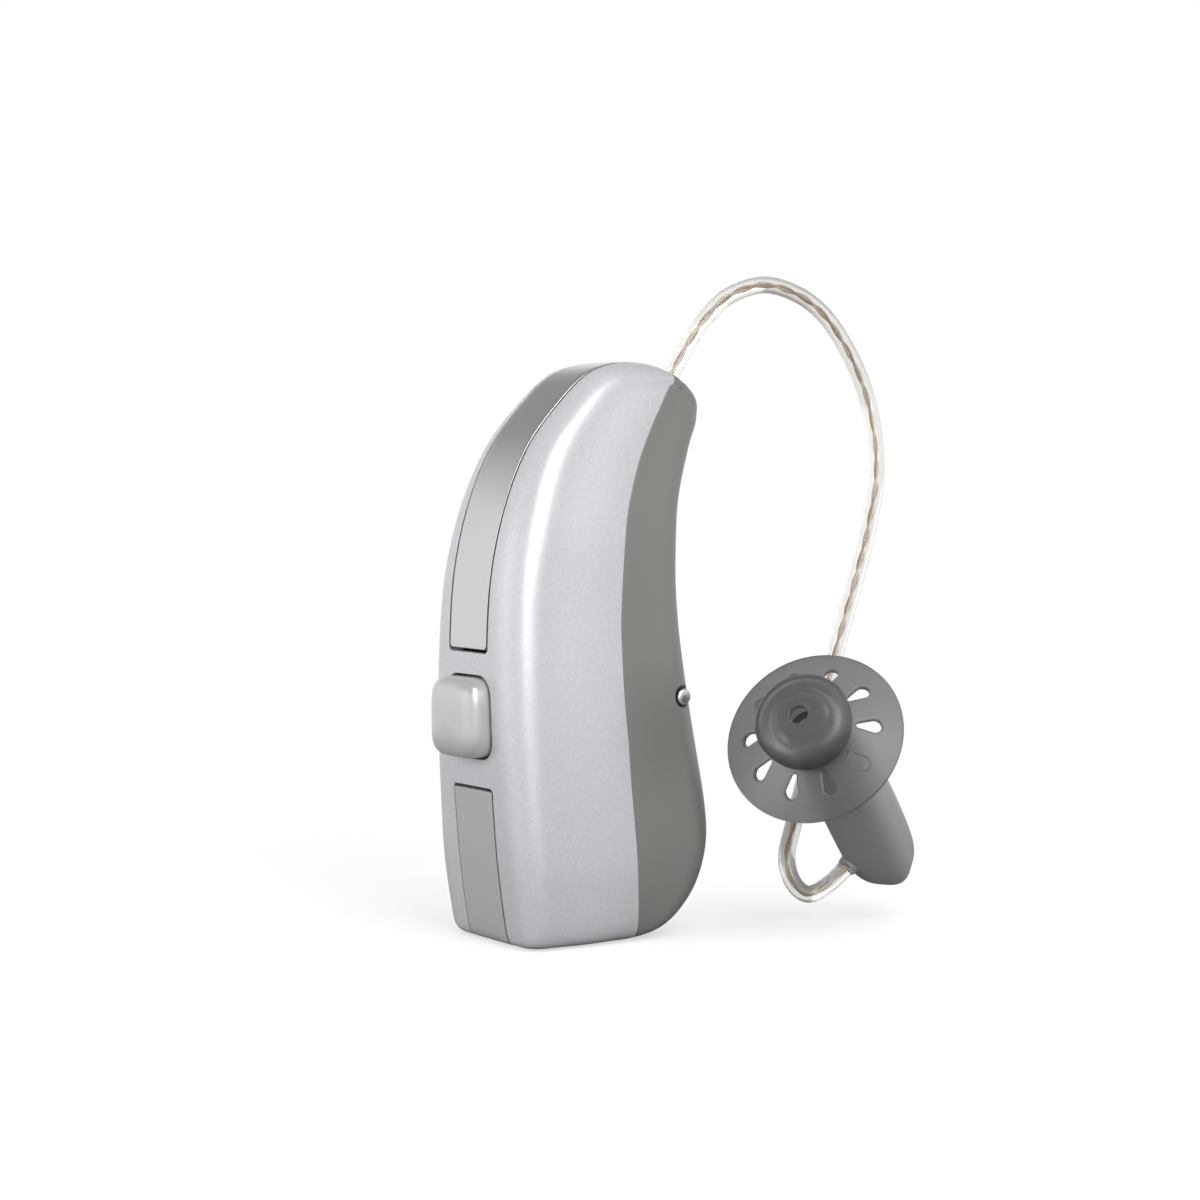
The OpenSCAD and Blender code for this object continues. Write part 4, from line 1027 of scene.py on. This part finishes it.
# Woven steel gauze: threads both ways, 0.1 mm apart (0.04 mm in the real one)
gauze_mat = grained("steel_gauze_woven", "#77787A", "#6A6B6D", 0.05, 0.001, 0.6, (0.3, 0.4), 1.0)
gauze_tree, gauze_shader = insides(gauze_mat)
gauze_place = put(gauze_tree, "ShaderNodeTexCoord")
threads = [put(gauze_tree, "ShaderNodeTexWave", [
    ("Vector", gauze_place.outputs["Object"]), ("Scale", 1 / (0.1 * MM) / BANDS)], bands_direction=way)
    for way in ("Y", "Z")]
weave = put(gauze_tree, "ShaderNodeMath", [(k, threads[k].outputs[0]) for k in (0, 1)], operation="MAXIMUM")
weave_relief = put(gauze_tree, "ShaderNodeBump", [("Height", weave.outputs[0]), ("Distance", 0.02 * MM)])
gauze_tree.links.new(weave_relief.outputs[0], gauze_shader.inputs["Normal"])
clad(gauze_mat, "front_mic_screen", "rear_mic_screen")
# Glass-epoxy board under green solder mask: copper tracks about 0.35 mm apart show as lighter lines
board_mat = grained("board_green_solder_mask", "#1C5A3B", "#226544", 0.2, 0.001, 1.5, (0.25, 0.35))
board_tree, board_shader = insides(board_mat)
board_place = put(board_tree, "ShaderNodeTexCoord")
board_side = put(board_tree, "ShaderNodeMapping", [
    ("Vector", board_place.outputs["Object"]), ("Rotation", (math.radians(90), 0, math.radians(90)))])
tracks = put(board_tree, "ShaderNodeTexBrick", [
    ("Vector", board_side.outputs[0]), ("Scale", 1 / (1.4 * MM)), ("Mortar Size", 0.06),
    ("Color1", linear("#1C5A3B")), ("Color2", linear("#23684A")), ("Mortar", linear("#6F9A62"))])
board_tree.links.new(tracks.outputs["Color"], board_shader.inputs["Base Color"])
clad(board_mat, "circuit_board")

# Telecoil: enamelled wire wound in one layer on its rod
low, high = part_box("telecoil_winding")
coil_x, coil_y = (low[0] + high[0]) / 2, (low[1] + high[1]) / 2
coil_r, COIL_END, COIL_WIRE = (high[0] - low[0]) / 2, 0.08 * MM, 0.06 * MM
coil_rise = high[2] - low[2] - 2 * COIL_END
coil_line = [(coil_x, coil_y, low[2] + COIL_END + coil_rise * k / 40) for k in range(41)]
# Enamelled copper: glossy red-brown lacquer; the real wire is 0.03 mm, drawn at 0.12 mm
enamel_mat = grained("copper_wire_enamelled", "#A4532F", "#8F4526", 0.2, 0.001, 1.0, (0.2, 0.3), 0.5,
                           Coat_Weight=0.6)
coil = from_modifier(
    line_object("coil_line", coil_line), wound_strands("coil_turns", (enamel_mat,)),
    {"Step": 0.012 * MM, "Lay": 0.14 * MM, "Spread": coil_r - 0.065 * MM, "Thickness": COIL_WIRE},
    "telecoil_turns")
stand_in(coil, "housing", "telecoil_winding")

# Floor and light
def seen_directly(tree):
    """1 for what the camera sees straight, in a mirror or through glass, else 0."""
    path = put(tree, "ShaderNodeLightPath")
    either = put(tree, "ShaderNodeMath", [
        (0, path.outputs["Is Camera Ray"]), (1, path.outputs["Is Glossy Ray"])], operation="MAXIMUM")
    return put(tree, "ShaderNodeMath", [
        (0, either.outputs[0]), (1, path.outputs["Is Transmission Ray"])], operation="MAXIMUM").outputs[0]


floor_low, FLOOR_HALF = float(cad_box[0][2]), 3
floor_mesh = bpy.data.meshes.new("floor")
floor_mesh.from_pydata([(x * FLOOR_HALF, y * FLOOR_HALF, floor_low)
                        for x, y in ((-1, -1), (1, -1), (1, 1), (-1, 1))], [], [(0, 1, 2, 3)])
floor = linked("floor", floor_mesh)
floor_mat = material("white_studio_paint", "#FFFFFF", 0.9)
floor_tree, floor_shader = insides(floor_mat)
floor_shader.inputs["Specular IOR Level"].default_value = 0.0
# The camera sees white paint; the object sees it greyer, so its foot is shaded
floor_ray = put(floor_tree, "ShaderNodeLightPath").outputs["Is Camera Ray"]
floor_tone = put(floor_tree, "ShaderNodeMix", [
    (0, floor_ray), (6, linear("#8C8C8C")), (7, linear("#FFFFFF"))], data_type="RGBA")
floor_tree.links.new(floor_tone.outputs[2], floor_shader.inputs["Base Color"])
paint_glow = put(floor_tree, "ShaderNodeEmission", [
    ("Color", (1, 1, 1, 1)), ("Strength", seen_directly(floor_tree))])
# Near the object the paint takes its shadow, farther off it runs into the backdrop
floor_place = put(floor_tree, "ShaderNodeTexCoord")
floor_reach = put(floor_tree, "ShaderNodeVectorMath", [(0, floor_place.outputs["Object"])], operation="LENGTH")
floor_start = put(floor_tree, "ShaderNodeMath", [(0, floor_ray), (1, 0.6)], operation="MULTIPLY")
fade = put(floor_tree, "ShaderNodeMapRange", [
    ("Value", floor_reach.outputs["Value"]), ("From Min", 0.02), ("From Max", 0.12),
    ("To Min", floor_start.outputs[0]), ("To Max", 1.0)])
glow = put(floor_tree, "ShaderNodeMixShader", [
    (0, fade.outputs[0]), (1, floor_shader.outputs[0]), (2, paint_glow.outputs[0])])
floor_tree.links.new(glow.outputs[0], floor_tree.nodes["Material Output"].inputs["Surface"])
dress(floor, floor_mat)

world = bpy.data.worlds.new("studio")
bpy.context.scene.world = world
world.use_nodes = True
sky_tree = world.node_tree
room = sky_tree.nodes["Background"]
room.inputs["Color"].default_value = (1, 1, 1, 1)
room.inputs["Strength"].default_value = 0.5
# White backdrop all round; towards the ceiling a mirror finds the room darker
sky_place = put(sky_tree, "ShaderNodeTexCoord")
sky_parts = put(sky_tree, "ShaderNodeSeparateXYZ", [(0, sky_place.outputs["Object"])])
ceiling = put(sky_tree, "ShaderNodeMapRange", [
    ("Value", sky_parts.outputs["Z"]), ("From Min", 0.26), ("From Max", 0.55),
    ("To Min", 1.0), ("To Max", 0.3)])
sky_ray = put(sky_tree, "ShaderNodeLightPath")
sky_level = put(sky_tree, "ShaderNodeMix", [
    (0, sky_ray.outputs["Is Glossy Ray"]), (2, 1.0), (3, ceiling.outputs[0])], data_type="FLOAT")
backdrop = put(sky_tree, "ShaderNodeBackground", [("Color", (1, 1, 1, 1)), ("Strength", sky_level.outputs[0])])
choice = put(sky_tree, "ShaderNodeMixShader", [
    (0, seen_directly(sky_tree)), (1, room.outputs[0]), (2, backdrop.outputs[0])])
sky_tree.links.new(choice.outputs[0], sky_tree.nodes["World Output"].inputs["Surface"])


def softbox(name, azimuth, height, distance, size, watts):
    """Area lamp at an azimuth counted as the camera's, aimed at the middle of the body."""
    data = bpy.data.lights.new(name, "AREA")
    data.shape = "RECTANGLE"
    data.size, data.size_y = size
    data.energy = watts
    return hung(name, data, azimuth, height, distance)


softbox("key_softbox", -8, 25, 0.13, (0.075, 0.11), 0.12)
# Only the key shows in the polished skins; the other lamps light the matt ones
for lamp in (softbox("fill_softbox", -95, 5, 0.4, (0.3, 0.36), 1.7),
             softbox("back_softbox", 165, 30, 0.5, (0.4, 0.4), 0.35),
             softbox("top_softbox", 20, 65, 0.6, (0.5, 0.4), 1.0)):
    lamp.visible_glossy = False

bpy.context.scene.view_settings.view_transform = "Standard"
